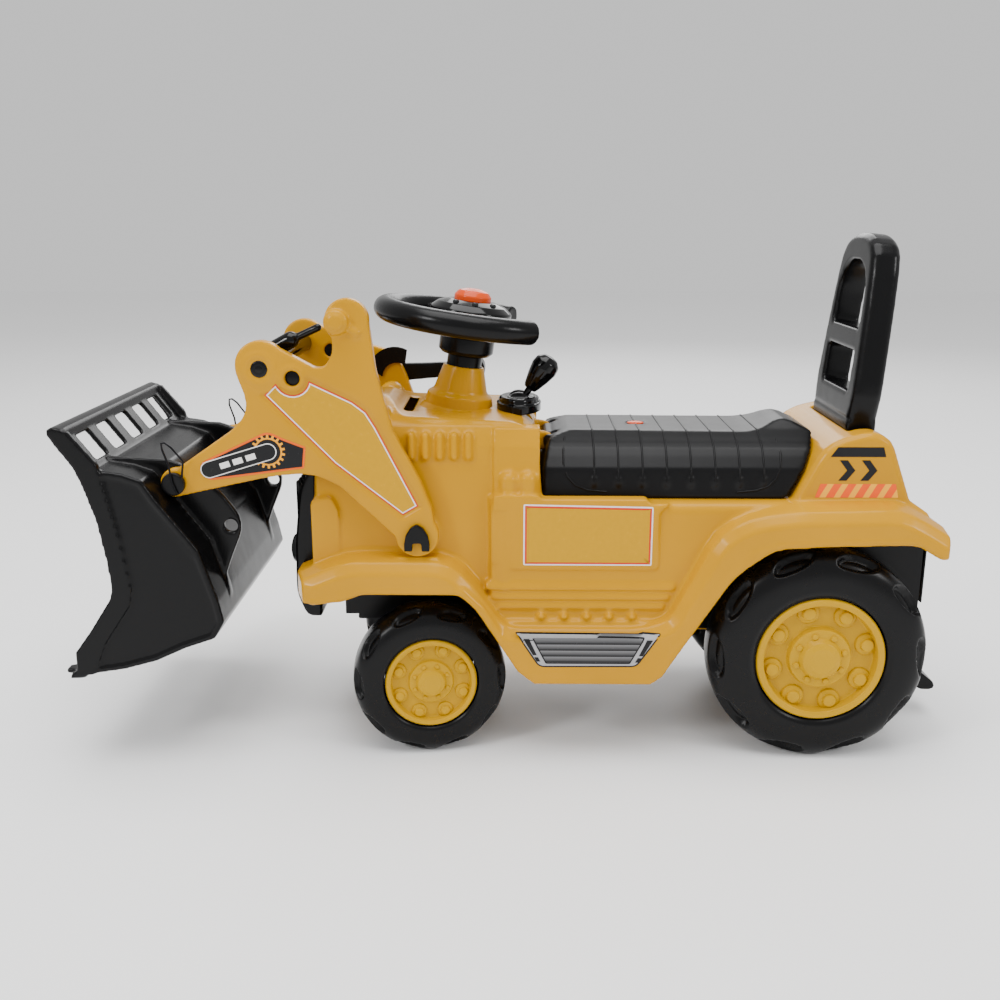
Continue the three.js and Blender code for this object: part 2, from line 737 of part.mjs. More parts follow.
// ---------------------------------------------------------------- seat, backrest and gear lever
/** Moulded lid over the storage well, hinged at its top front edge. */
function seatLid() {
  const side = [
    [34, SILL_Z + GAP], [246, SILL_Z + GAP], [245.5, 262], [241, 284, 6], [222, 290, 4],
    [62, 289, 4], [48, 291, 6],
    [27, 301, 10], [10, 292, 6], [3, 289], [30, 240],
  ];
  const section = mirrored(
    [
      [SEAT_HALF, SILL_Z], [SEAT_HALF - 3, 262], [SEAT_HALF - 16, 279, 8], [36, 290, 12],
      [22, 302],
    ],
  );
  const outer = common(alongY(side, -90, 90), alongX(section, 0, 260));
  const inner = common(
    alongY(
      [
        [44, 230], [232, 230], [232, 268], [222, 284], [62, 283], [48, 283], [30, 288], [22, 280],
        [38, 250],
      ],
      -90,
      90,
    ),
    alongX(
      mirrored(
        [[SEAT_HALF - 4, 230], [SEAT_HALF - 7, 262], [SEAT_HALF - 20, 274], [34, 284], [20, 296]],
      ),
      0,
      260,
    ),
  );
  const ears = SIDES.map(([, s]) => block([-10, 9], onSide(s, 55, 95), [230, 320]));
  const lugs = [-1, 1].map((s) => block([232, 250], onSide(s, 23.5, 30.5), [266, 300]));
  const pin = barY(2.5 + RUNNING, SEAT_HINGE.x, SEAT_HINGE.z, -36, 36, 12);
  const knuckles = barY(6, 240, SEAT_HINGE.z, -38, 38, 12);
  const badge = block([149, 167], [-7, 7], [287.5, 300]);
  return part("seat_lid", cut(join(cut(outer, inner), knuckles), ...ears, ...lugs, pin, badge), BLACK);
}

const seatPin = () => part("seat_pin", barY(2.5, SEAT_HINGE.x, SEAT_HINGE.z, -34, 34, 12), STEEL);

const seatBadge = () => part("seat_badge", block([150, 166], [-6, 6], [287.8, 290.6]), ORANGE);

/** Arched back frame with two windows. Its foot plugs into the hump, and it leans back above that. */
function backrest() {
  const { half, foot, bend, top } = BACK;
  const middle = (BACK.x[0] + BACK.x[1]) / 2;
  const stub = alongX(mirrored([[half - 8, foot], [half - 5, bend + 2]]), ...BACK.x);
  const frame = alongX(
    mirrored([
      [half - 5, bend], [half, bend + 24, 10], [half - 8, top - 60, 30], [half - 16, top - 14, 18],
      [half - 34, top - 3, 16], [10, top, 4],
    ]),
    ...BACK.x,
    { bevel: 4, rise: 5 },
  );
  const upper = mirrored([
    [half - 22, bend + 80, 4], [half - 24, top - 46, 8], [half - 34, top - 31, 10], [12, top - 24, 4],
  ]);
  const lower = mirrored([[half - 22, bend + 25, 4], [half - 22, bend + 60, 4]]);
  const upright = cut(frame, alongX(upper, -60, 0), alongX(lower, -60, 0));
  const leaning = upright.translate([-middle, 0, -bend]).rotate([0, -BACK.lean, 0]);
  return part("backrest", join(stub, leaning.translate([middle, 0, bend])), BLACK);
}

/** Glossy plate on the hood that the lever comes through. */
function gearBase() {
  const oval = new THREE.Shape().absellipse(0, 0, 19, 30, 0, 2 * Math.PI);
  const geometry = pushed(oval, DECK_Z + 5, DECK_Z + 9, { bevel: 1, curve: 10 });
  const plate = solid(geometry.translate(LEVER.x, 0, 0));
  const dome = cut(
    barY(12, LEVER.x, LEVER.z, -10, 10, 20),
    block([200, 340], [-40, 40], [270, DECK_Z + 5]),
  );
  const hole = barY(9, LEVER.x, LEVER.z, -7, 7, 16);
  const slot = alongY(
    [
      [LEVER.x - 34, 340], [LEVER.x - 9, LEVER.z + 2], [LEVER.x - 5, LEVER.z - 6],
      [LEVER.x - 5, 300], [LEVER.x + 5, 300], [LEVER.x + 5, LEVER.z - 6], [LEVER.x + 16, 340],
    ],
    -5,
    5,
  );
  return part("gear_base", cut(join(plate, dome), hole, slot), GLOSS);
}

/** Lever about its pivot, and its knob. */
function gearLever() {
  const group = new THREE.Group();
  group.position.set(LEVER.x, 0, LEVER.z);
  group.rotation.y = LEVER.lean;
  const ball = barY(8, 0, 0, -6, 6, 16);
  group.add(part("gear_lever", join(ball, bar(3.2, 0, 33, 10)), BLACK));
  const knob = turned(
    [
      [3.5, 17], [6, 17], [8, 20], [11, 31], [12.5, 40], [11.5, 47], [7, 52], [0, 53], [0, 33.5],
      [3.5, 33.5], [3.5, 17],
    ],
    14,
  );
  group.add(part("gear_knob", knob, BLACK));
  return group;
}

// ---------------------------------------------------------------- boom
const LOBE = {
  elbow: [483, 355, 21],
  crown: [410, 393, 18],
  tip: [BUCKET_PIN.x, BUCKET_PIN.z, 12],
  pivot: [PIVOT.x, PIVOT.z, 17],
};
const CROSS_HOLE = { x: 484, z: 353 };
const SMALL_HOLE = { x: 457, z: 345 };

/** One boom plate: the left one has a tall horn, the right one a round shoulder. */
function boomPlate(word, side) {
  const shoulder =
    side > 0
      ? [[387, 352], [392, 393], [428, 394], [423, 385, 6], [422, 366, 6], [430, 354, 6], [438, 354]]
      : [[381, 320], [388, 336, 8], [402, 347, 6], [424, 352]];
  const edge = [
    [560, 243], [470, 263, 20], [440, 263, 12], [420, 252], [372, 206], [355, 191], [338, 205],
    [342, 232],
    [352, 258], [374, 300], ...shoulder, [473, 373], [497, 370], [503, 346], [498, 332],
    [496, 318, 8], [506, 304, 8], [560, 267],
  ];
  const range = onSide(side, BOOM.inner, BOOM.outer);
  const lobes = [LOBE.elbow, LOBE.tip, LOBE.pivot, ...(side > 0 ? [LOBE.crown] : [])];
  const plate = join(
    alongY(edge, ...range),
    ...lobes.map(([x, z, r]) => barY(r, x, z, ...range, 24)),
    ...(side > 0 ? [barY(10, 418, 392, BOOM.outer - 1, BOOM.outer + 7, 20)] : []),
  );
  const holes = [
    barY(4.3, PIVOT.x, PIVOT.z, ...onSide(side, 80, 120), 20),
    barY(4 + GAP, CROSS_HOLE.x, CROSS_HOLE.z, ...onSide(side, 80, 120), 16),
    barY(6.5, SMALL_HOLE.x, SMALL_HOLE.z, ...onSide(side, 80, 120), 16),
    barY(4 + RUNNING, BUCKET_PIN.x, BUCKET_PIN.z, ...onSide(side, 80, 120), 20),
    barY(8.5, CROSS_HOLE.x, CROSS_HOLE.z, ...onSide(side, BOOM.outer - 3, 120), 20),
  ];
  return part(`boom_plate_${word}`, cut(plate, ...holes), YELLOW);
}

/** Pin with a horseshoe head that holds a boom plate on the body. */
function boomPin(word, side) {
  const head = cut(
    alongY(
      [
        [PIVOT.x - 11, PIVOT.z - 12], [PIVOT.x - 11, PIVOT.z + 2, 8], [PIVOT.x, PIVOT.z + 15, 8],
        [PIVOT.x + 11, PIVOT.z + 2, 8], [PIVOT.x + 11, PIVOT.z - 12],
      ],
      ...onSide(side, BOOM.outer + GAP, BOOM.outer + 5),
    ),
    block(
      [PIVOT.x - 4, PIVOT.x + 4],
      onSide(side, BOOM.outer, BOOM.outer + 6),
      [PIVOT.z - 20, PIVOT.z - 5],
    ),
  );
  const pin = barY(4, PIVOT.x, PIVOT.z, ...onSide(side, 66, BOOM.outer + 2), 20);
  return part(`boom_pin_${word}`, join(head, pin), BLACK);
}

/** Rod through both elbows, with the spacer tube on it. */
function crossRod() {
  const reach = BOOM.outer;
  const rod = join(
    barY(4, CROSS_HOLE.x, CROSS_HOLE.z, -reach, reach, 16),
    ...SIDES.map(([, side]) =>
      barY(
        7.5,
        CROSS_HOLE.x,
        CROSS_HOLE.z,
        ...onSide(side, BOOM.outer - 3 + GAP, BOOM.outer + 1),
        16,
      ),
    ),
  );
  const tube = cut(
    barY(9, CROSS_HOLE.x, CROSS_HOLE.z, -BOOM.inner + GAP, BOOM.inner - GAP, 20),
    barY(4 + GAP, CROSS_HOLE.x, CROSS_HOLE.z, -120, 120, 16),
  );
  return [part("cross_rod", rod, STEEL), part("spacer_tube", tube, BLACK)];
}

/** Lift handle fixed to the right plate's shoulder. */
function liftHandle() {
  const reach = [[408, 318], [412, 334, 4], [392, 330], [326, 332], [326, 318], [390, 312]];
  const bracket = alongY(reach, -BOOM.outer - 8, -BOOM.outer - GAP);
  const grip = barY(16, 317, 325, -BOOM.outer - 18, -BOOM.inner + 1, 20);
  return part("lift_handle", join(bracket, grip), BLACK);
}

// ---------------------------------------------------------------- bucket
/** A band of even thickness on the left of an open line, in X and Z. */
function band(points, thickness) {
  const line = points.map(([u, v]) => new THREE.Vector2(u, v));
  const normals = line.slice(1).map((p, i) => {
    const d = p.clone().sub(line[i]).normalize();
    return new THREE.Vector2(-d.y, d.x);
  });
  const inner = line.map((p, i) => {
    const a = normals[Math.max(i - 1, 0)];
    const b = normals[Math.min(i, normals.length - 1)];
    const miter = a.clone().add(b).normalize();
    return p.clone().addScaledVector(miter, thickness / miter.dot(a));
  });
  return [...line, ...inner.reverse()].map((p) => [p.x, p.y]);
}

/** Back of the bucket, from the top edge round to the cutting lip. */
const BUCKET_BACK = [
  [655, 304], [646, 303], [622, 271], [600, 268], [583, 262], [573, 246], [540, 202], [526, 156],
  [522, 136], [531, 121],
  [557, 112], [583, 100], [612, 92], [657, 85],
];
/** Front edge of a bucket side, from the lip up to the top edge. */
const BUCKET_FRONT = [
  [661, 84], [653, 92], [653, 108], [638, 128], [618, 158], [616, 168], [618, 192], [624, 229],
  [634, 262], [640, 275], [655, 296], [657, 304],
];
const tooth = (y) => [[650, y - 9], [668, y - 5], [668, y + 5], [650, y + 9]];
const SLOT_PITCH = 46; // between the slots in the bucket's top
const TOOTH_PITCH = 44;
/** Inner edge of the flange round a bucket side. */
const FLANGE_INNER = [
  [641, 304], [619, 277], [606, 216], [599, 167], [602, 152], [626, 117], [638, 88],
];

function bucket() {
  const back = alongY(band(BUCKET_BACK, 4), -BUCKET_HALF + 2, BUCKET_HALF - 2);
  const sides = SIDES.flatMap(([, side]) => [
    alongY([...BUCKET_BACK, ...BUCKET_FRONT], ...onSide(side, BUCKET_HALF - 7, BUCKET_HALF - 3.5)),
    alongY([...BUCKET_FRONT, ...FLANGE_INNER], ...onSide(side, BUCKET_HALF - 7, BUCKET_HALF)),
  ]);
  const rail = alongY(
    [[643, 299], [657, 299], [659, 304, 3], [655, 308, 3], [645, 306, 3]],
    -BUCKET_HALF,
    BUCKET_HALF,
  );
  const lip = block([646, 659], [-BUCKET_HALF + 2, BUCKET_HALF - 2], [83.5, 88]);
  const teeth = [-2.5, -1.5, -0.5, 0.5, 1.5, 2.5].map((i) =>
    alongZ(tooth(TOOTH_PITCH * i), 83.5, 88),
  );
  const ears = SIDES.map(([, side]) =>
    alongY(
      [
        [628, 275], [572, 272], [556, 267, 8], [528, 244, 8], [512, 222, 8], [511, 208, 6],
        [522, 182], [527, 168], [524, 148], [560, 200], [600, 264],
      ],
      ...onSide(side, 82, BOOM.inner - 2),
    ),
  );
  const slots = [-2, -1, 0, 1, 2].map((i) => {
    const hole = new THREE.BoxGeometry(26, 27, 30);
    hole.rotateY(-THREE.MathUtils.degToRad(53));
    return solid(hole.translate(634, SLOT_PITCH * i, 287));
  });
  const pins = SIDES.map(([, side]) =>
    barY(4 + RUNNING, BUCKET_PIN.x, BUCKET_PIN.z, ...onSide(side, 70, 100), 20),
  );
  const eyes = SIDES.map(([, side]) => barY(6.2, 520, 213, ...onSide(side, 70, 100), 16));
  return part(
    "bucket",
    cut(join(back, ...sides, rail, lip, ...teeth, ...ears), ...slots, ...pins, ...eyes),
    BLACK,
  );
}

/** Pin with a round black cap, from outside each boom tip into the bucket's ear. */
function bucketPin(word, side) {
  const pin = join(
    barY(4, BUCKET_PIN.x, BUCKET_PIN.z, ...onSide(side, 78, BOOM.outer + 3), 20),
    barY(10, BUCKET_PIN.x, BUCKET_PIN.z, ...onSide(side, BOOM.outer + GAP, BOOM.outer + 6), 20),
    barY(7, BUCKET_PIN.x, BUCKET_PIN.z, ...onSide(side, 76, 81.7), 16),
  );
  return part(`bucket_pin_${word}`, pin, BLACK);
}

/** Wire loop that hangs on the bucket pin outside the boom. */
function pinLoop(word, side) {
  const y = side * (BOOM.outer + 8.5);
  const ring = [];
  for (let i = 0; i <= 10; i += 1) {
    const a = -0.4 * Math.PI + (1.8 * Math.PI * i) / 10;
    ring.push(
      new THREE.Vector3(
        BUCKET_PIN.x + 12 * Math.cos(a) * 0.9,
        y,
        BUCKET_PIN.z + 12 * Math.sin(a),
      ),
    );
  }
  ring.push(new THREE.Vector3(BUCKET_PIN.x + 6, y, BUCKET_PIN.z + 32));
  return part(`pin_loop_${word}`, wire(new THREE.CatmullRomCurve3(ring), 0.9, 16, 2), WIRE);
}

// ---------------------------------------------------------------- rear
/** Hook for a trailer under the tail. */
function towHook() {
  const bracket = alongY(
    [[-118, 168, 3], [-118, 160, 3], [-90, 156], [-84.6, 156], [-86, 171], [-100, 171]],
    -10,
    10,
  );
  return part("tow_hook", cut(bracket, bar(4, 100, 200).translate([-110, 0, 0])), BLACK);
}

/** Leg behind the rear wheels that stops the vehicle from tipping back. */
function tipStop() {
  const leg = alongY(
    [
      [-86, 130], [-88, 84], [-128, 44, 8], [-141, 34, 3], [-141, 28, 3], [-128, 26, 6],
      [-84, 60, 8], [-62, 79.5], [-58.6, 80.4], [-72, 116], [-82.6, 139],
    ],
    -16,
    16,
  );
  return part("tip_stop", leg, BLACK);
}

// ---------------------------------------------------------------- assembly
const digger = new THREE.Group();
digger.add(bodyShell(), frontGrille(), ...headlamps(), chassisPan());
digger.add(rearAxle(), frontBeam(), ...kingpins(), tieRod(), steering());
SIDES.forEach(([word, side]) => {
  digger.add(wheel(`rear_${word}`, rear, side, 0, side * rear.middle));
  digger.add(frontCorner(word, side));
  digger.add(boomPlate(word, side), boomPin(word, side), bucketPin(word, side), pinLoop(word, side));
});
digger.add(seatLid(), seatPin(), seatBadge(), backrest(), gearBase(), gearLever());
digger.add(...crossRod(), liftHandle(), bucket(), towHook(), tipStop());
digger.position.x = -REAR_TO_MIDDLE;

export default digger;
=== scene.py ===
"""Looks of a ride-on digger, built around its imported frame.

Every size and place is in millimetres. X is counted forward from the rear axle, Y to the rider's left from
the middle plane and Z up from the floor, as on the maker's drawing. The function at() turns such a place
into the frame's metres. Each sub-assembly is a class that casts or turns its pieces and dresses them.
"""

import json
import logging
import math
from dataclasses import dataclass, field
from enum import Enum
from typing import Iterable, Sequence

import bmesh
import bpy
from mathutils import Matrix, Vector
from mathutils.bvhtree import BVHTree

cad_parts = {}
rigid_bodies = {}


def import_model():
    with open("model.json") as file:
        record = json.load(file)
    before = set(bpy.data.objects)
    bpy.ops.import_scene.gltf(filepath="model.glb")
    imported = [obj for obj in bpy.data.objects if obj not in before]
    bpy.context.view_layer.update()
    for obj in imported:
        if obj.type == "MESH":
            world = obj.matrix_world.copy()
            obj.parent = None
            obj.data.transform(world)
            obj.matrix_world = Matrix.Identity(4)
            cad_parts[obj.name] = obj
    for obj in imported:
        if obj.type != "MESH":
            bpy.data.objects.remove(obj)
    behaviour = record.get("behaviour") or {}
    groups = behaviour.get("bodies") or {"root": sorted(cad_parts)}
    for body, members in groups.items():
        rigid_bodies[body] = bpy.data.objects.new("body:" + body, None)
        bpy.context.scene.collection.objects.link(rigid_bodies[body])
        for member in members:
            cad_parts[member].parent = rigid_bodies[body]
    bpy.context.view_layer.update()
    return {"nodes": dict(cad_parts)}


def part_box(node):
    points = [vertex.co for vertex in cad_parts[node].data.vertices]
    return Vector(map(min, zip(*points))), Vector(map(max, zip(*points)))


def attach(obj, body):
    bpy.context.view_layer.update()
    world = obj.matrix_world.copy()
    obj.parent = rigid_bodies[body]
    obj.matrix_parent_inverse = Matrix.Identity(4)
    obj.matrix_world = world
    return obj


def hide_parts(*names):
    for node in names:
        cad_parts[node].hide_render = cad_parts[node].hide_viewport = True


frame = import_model()
LOG = logging.getLogger("digger")

MM = 0.001
AXLE_X = (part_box("rear_axle")[0].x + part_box("rear_axle")[1].x) / 2
SIDES = (("left", 1), ("right", -1))
ROUND = 64  # sides of a turned piece
PLASTIC_SHINE = 0.16  # specular level of mouldings
VINYL_SHINE = 0.14  # specular level of stickers
KINGPIN_Y = 44.0  # from the middle plane
OUTSIDE = 200.0  # a distance from the middle plane that lies clear of every piece
STEERED = math.radians(8)  # turn of the steering and the front wheels at rest

Point = tuple[float, float]
Corner = tuple[float, ...]


def at(x: float, y: float, z: float) -> Vector:
    """A place on the drawing, in the frame's metres."""
    return Vector((AXLE_X + x * MM, y * MM, z * MM))


# ------------------------------------------------------------------ outlines
def rounded(corners: Sequence[Corner], steps: int = 5) -> list[Point]:
    """Rounds the corners of an outline.

    Args:
        corners: (u, v) or (u, v, radius) in order round the outline.
        steps: points on each rounded corner, less one.

    Returns:
        The outline's points.
    """
    points: list[Point] = []
    count = len(corners)
    for i, corner in enumerate(corners):
        here = Vector(corner[:2])
        if len(corner) < 3:
            points.append((here.x, here.y))
            continue
        before = Vector(corners[i - 1][:2]) - here
        after = Vector(corners[(i + 1) % count][:2]) - here
        half = before.angle(after) / 2
        reach = min(corner[2] / math.tan(half), before.length * 0.49, after.length * 0.49)
        start, end = here + before.normalized() * reach, here + after.normalized() * reach
        for k in range(steps + 1):
            t = k / steps
            p = start * (1 - t) ** 2 + here * (2 * t * (1 - t)) + end * t**2
            points.append((p.x, p.y))
    return points


def inset(points: Sequence[Point], depth: float) -> list[Point]:
    """Moves each edge of an outline inwards.

    Args:
        points: the outline's points in order.
        depth: how far, or less than 0 for outwards.

    Returns:
        The new outline's points.
    """
    area = sum(a[0] * b[1] - b[0] * a[1] for a, b in zip(points, [*points[1:], points[0]]))
    turn = 1 if area > 0 else -1
    moved: list[Point] = []
    count = len(points)
    for i, p in enumerate(points):
        here, last, after = Vector(p), Vector(points[i - 1]), Vector(points[(i + 1) % count])
        a, b = (here - last).normalized(), (after - here).normalized()
        na, nb = Vector((-a.y, a.x)) * turn, Vector((-b.y, b.x)) * turn
        middle = (na + nb).normalized()
        q = here + middle * (depth / max(middle.dot(na), 0.35))
        moved.append((q.x, q.y))
    return moved


def arc(centre: Point, radius: float, start: float, end: float, steps: int = 10) -> list[Point]:
    """Points on an arc.

    Args:
        centre: its middle.
        radius: its radius.
        start: first angle, in degrees.
        end: last angle, in degrees.
        steps: stretches between points.

    Returns:
        The points, with both ends.
    """
    angles = [math.radians(start + (end - start) * k / steps) for k in range(steps + 1)]
    return [(centre[0] + radius * math.cos(a), centre[1] + radius * math.sin(a)) for a in angles]


# ------------------------------------------------------------------ closed shapes
class Clay:
    """A mesh that closed shapes are added to, in the frame's metres."""

    def __init__(self) -> None:
        """Starts with nothing."""
        self.bm = bmesh.new()

    def slab(self, outline: Sequence[Point], low: float, high: float, along: str = "Y") -> "Clay":
        """Adds a prism.

        Args:
            outline: (x, z) points for along Y, (y, z) for along X, (x, y) for along Z.
            low: where it starts.
            high: where it ends.
            along: the axis that it runs along.

        Returns:
            This clay.
        """
        place = {
            "Y": lambda u, v, w: at(u, w, v),
            "X": lambda u, v, w: at(w, u, v),
            "Z": lambda u, v, w: at(u, v, w),
        }[along]
        rings = [[self.bm.verts.new(place(u, v, w)) for u, v in outline] for w in (low, high)]
        count = len(outline)
        faces = [self.bm.faces.new(ring) for ring in rings]
        for i in range(count):
            k = (i + 1) % count
            faces.append(self.bm.faces.new((rings[0][i], rings[0][k], rings[1][k], rings[1][i])))
        bmesh.ops.recalc_face_normals(self.bm, faces=faces)
        return self

    def ball(self, centre: Vector, radii: Sequence[float]) -> "Clay":
        """Adds an ellipsoid about a place in metres, with its radii in millimetres."""
        matrix = Matrix.Translation(centre) @ Matrix.Diagonal((*[r * MM for r in radii], 1))
        bmesh.ops.create_uvsphere(self.bm, u_segments=24, v_segments=14, radius=1, matrix=matrix)
        return self

    def lathe(self, profile: Sequence[Point], place: Matrix, sides: int = ROUND) -> "Clay":
        """Adds a turned shape.

        Args:
            profile: (radius, height) points that start and end on the axis, or close on themselves.
            place: turns and moves the shape from its own Z axis into the frame.
            sides: number of sides.

        Returns:
            This clay.
        """
        rings: list[list[bmesh.types.BMVert]] = []
        for radius, height in profile:
            if radius < 1e-6:
                rings.append([self.bm.verts.new(place @ Vector((0, 0, height * MM)))])
                continue
            turns = [math.tau * k / sides for k in range(sides)]
            ring = [Vector((radius * math.cos(a), radius * math.sin(a), height)) * MM for a in turns]
            rings.append([self.bm.verts.new(place @ p) for p in ring])
        pairs = list(zip(rings, rings[1:]))
        if len(rings[0]) > 1:
            pairs.append((rings[-1], rings[0]))
        faces = []
        for a, b in pairs:
            for k in range(sides):
                far = (k + 1) % sides
                corners = [a[k % len(a)], a[far % len(a)], b[far % len(b)], b[k % len(b)]]
                faces.append(self.bm.faces.new(list(dict.fromkeys(corners))))
        bmesh.ops.recalc_face_normals(self.bm, faces=faces)
        return self

    def rod(self, start: Vector, end: Vector, radius: float, sides: int = 24, dome: bool = False) -> "Clay":
        """Adds a round bar.

        Args:
            start: one end, in metres.
            end: the other end, in metres.
            radius: of the bar.
            sides: number of sides.
            dome: True for a dome on each end.

        Returns:
            This clay.
        """
        line = end - start
        place = Matrix.Translation(start) @ line.to_track_quat("Z", "Y").to_matrix().to_4x4()
        length = line.length / MM
        profile = [(0.0, 0.0), (radius, 0.0), (radius, length), (0.0, length)]
        if dome:
            quarter = [math.pi / 2 * k / 5 for k in range(6)]
            low = [(radius * math.sin(a), radius - radius * math.cos(a) - radius) for a in quarter]
            high = [(radius * math.cos(a), length + radius * math.sin(a)) for a in quarter]
            profile = [*low, *high[:-1], (0.0, length + radius)]
        return self.lathe(profile, place, sides)

    def sweep(self, path: Sequence[Vector], section: Sequence[Point], up: Vector) -> "Clay":
        """Adds a bar of a given section along a path in metres, closed at both ends.

        Args:
            path: places in metres.
            section: (across, up) points in millimetres.
            up: direction that the section's second axis keeps to.

        Returns:
            This clay.
        """
        rings = []
        for i, p in enumerate(path):
            line = path[min(i + 1, len(path) - 1)] - path[max(i - 1, 0)]
            across = line.normalized().cross(up).normalized()
            rise = across.cross(line.normalized())
            rings.append([self.bm.verts.new(p + across * (u * MM) + rise * (v * MM)) for u, v in section])
        faces = [self.bm.faces.new(rings[0]), self.bm.faces.new(rings[-1])]
        count = len(section)
        for a, b in zip(rings, rings[1:]):
            for k in range(count):
                far = (k + 1) % count
                faces.append(self.bm.faces.new((a[k], a[far], b[far], b[k])))
        bmesh.ops.recalc_face_normals(self.bm, faces=faces)
        return self

    def take(self, mesh: bpy.types.Mesh) -> "Clay":
        """Adds a copy of a mesh and merges its own doubled corners."""
        before = len(self.bm.verts)
        self.bm.from_mesh(mesh)
        self.bm.verts.ensure_lookup_table()
        bmesh.ops.remove_doubles(self.bm, verts=self.bm.verts[before:], dist=1e-6)
        return self

    def mesh(self, name: str) -> bpy.types.Mesh:
        """Turns the clay into a mesh and empties it."""
        made = bpy.data.meshes.new(name)
        self.bm.to_mesh(made)
        self.bm.free()
        self.bm = bmesh.new()
        return made


def stand(name: str, mesh: bpy.types.Mesh) -> bpy.types.Object:
    """Links a mesh to the scene as an object at the origin."""
    made = bpy.data.objects.new(name, mesh)
    bpy.context.scene.collection.objects.link(made)
    return made


def settled(obj: bpy.types.Object) -> bpy.types.Mesh:
    """The object's mesh with its modifiers applied. The object itself is removed."""
    graph = bpy.context.evaluated_depsgraph_get()
    graph.update()
    made = bpy.data.meshes.new_from_object(obj.evaluated_get(graph))
    old = obj.data
    bpy.data.objects.remove(obj)
    bpy.data.meshes.remove(old)
    return made


def surface_of(obj: bpy.types.Object) -> BVHTree:
    """A tree of the object's faces for finding where a line meets it."""
    graph = bpy.context.evaluated_depsgraph_get()
    return BVHTree.FromObject(obj, graph)


# ------------------------------------------------------------------ shader expressions
class Value:
    """A shader socket that adds Math nodes when it is used in an expression."""

    def __init__(self, coat: "Coat", socket: bpy.types.NodeSocket) -> None:
        """Wraps a socket of a coat's tree."""
        self.coat = coat
        self.socket = socket

    def _math(self, kind: str, *others: "Value | float") -> "Value":
        """Adds one Math node of this value and the others."""
        return self.coat.node("ShaderNodeMath", {"operation": kind}, dict(enumerate((self, *others))))

    def __add__(self, other: "Value | float") -> "Value":
        """Sum."""
        return self._math("ADD", other)

    def __mul__(self, other: "Value | float") -> "Value":
        """Product."""
        return self._math("MULTIPLY", other)

    def __sub__(self, other: "Value | float") -> "Value":
        """Difference."""
        return self._math("SUBTRACT", other)

    def above(self, edge: float) -> "Value":
        """1 where the value is greater than edge, else 0."""
        return self._math("GREATER_THAN", edge)

    def wrapped(self, size: float) -> "Value":
        """The value modulo size."""
        return self._math("FLOORED_MODULO", size)

    def spread(self, low: float, high: float) -> "Value":
        """The value mapped so that low becomes 0 and high becomes 1, and held between them."""
        ends = {0: self, 1: low, 2: high, 3: 0.0, 4: 1.0}
        return self.coat.node("ShaderNodeMapRange", {"clamp": True}, ends)


class Coat:
    """Builds one material's node tree."""

    def __init__(self, name: str) -> None:
        """Starts a material with a Principled shader."""
        self.material = bpy.data.materials.new(name)
        self.material.use_nodes = True
        self.tree = self.material.node_tree
        self.shader = self.tree.nodes["Principled BSDF"]

    def node(self, kind: str, settings: dict, inputs: dict, out: int | str = 0) -> Value:
        """Adds a node.

        Args:
            kind: the node's type.
            settings: its properties, which are set first.
            inputs: value or link of each socket, by name or number.
            out: the output that is wanted.

        Returns:
            That output, ready for an expression.
        """
        made = self.tree.nodes.new(kind)
        for key, value in settings.items():
            setattr(made, key, value)
        for key, value in inputs.items():
            if isinstance(value, Value):
                self.tree.links.new(value.socket, made.inputs[key])
            else:
                made.inputs[key].default_value = value
        return Value(self, made.outputs[out])

    def place(self) -> Value:
        """Object coordinates, in metres."""
        return self.node("ShaderNodeTexCoord", {}, {}, "Object")

    def parts(self) -> tuple[Value, Value, Value]:
        """Object coordinates as three numbers."""
        spot = self.place()
        return tuple(self.node("ShaderNodeSeparateXYZ", {}, {0: spot}, axis) for axis in ("X", "Y", "Z"))

    def noise(self, scale: float, detail: float = 2.0, stretch: Sequence[float] = (1, 1, 1)) -> Value:
        """Noise over the object.

        Args:
            scale: how many blobs lie in a metre.
            detail: finer layers.
            stretch: factor of the coordinates on each axis.

        Returns:
            A value between 0 and 1.
        """
        mapped = self.node("ShaderNodeMapping", {}, {"Vector": self.place(), "Scale": tuple(stretch)})
        return self.node("ShaderNodeTexNoise", {}, {"Vector": mapped, "Scale": scale, "Detail": detail}, 0)

    def blend(self, share: Value, a: "Value | Sequence[float]", b: "Value | Sequence[float]") -> Value:
        """Mixes two colours.

        Args:
            share: 0 for all a, 1 for all b.
            a: first colour.
            b: second colour.

        Returns:
            The mixed colour.
        """
        colours = {i: (v if isinstance(v, Value) else (*v[:3], 1.0)) for i, v in ((6, a), (7, b))}
        return self.node("ShaderNodeMix", {"data_type": "RGBA"}, {0: share, **colours}, 2)

    def bump(self, height: Value, depth: float) -> Value:
        """Normal of a height between 0 and 1 that is depth millimetres deep."""
        return self.node("ShaderNodeBump", {}, {"Height": height, "Distance": depth * MM}, "Normal")

    def finish(self, links: dict, numbers: dict) -> bpy.types.Material:
        """Sets the shader's sockets.

        Args:
            links: what is linked to a socket, by name.
            numbers: plain values, by socket name.

        Returns:
            The finished material.
        """
        for key, value in numbers.items():
            self.shader.inputs[key].default_value = value
        for key, value in links.items():
            self.tree.links.new(value.socket, self.shader.inputs[key])
        return self.material


def shade(colour: Sequence[float], factor: float) -> tuple[float, float, float]:
    """A colour made lighter or darker."""
    return tuple(min(1.0, c * factor) for c in colour[:3])


class Pattern(Enum):
    """What is printed on a sticker."""

    PLAIN = "plain"
    LOUVRES = "louvres"
    HAZARD = "hazard"


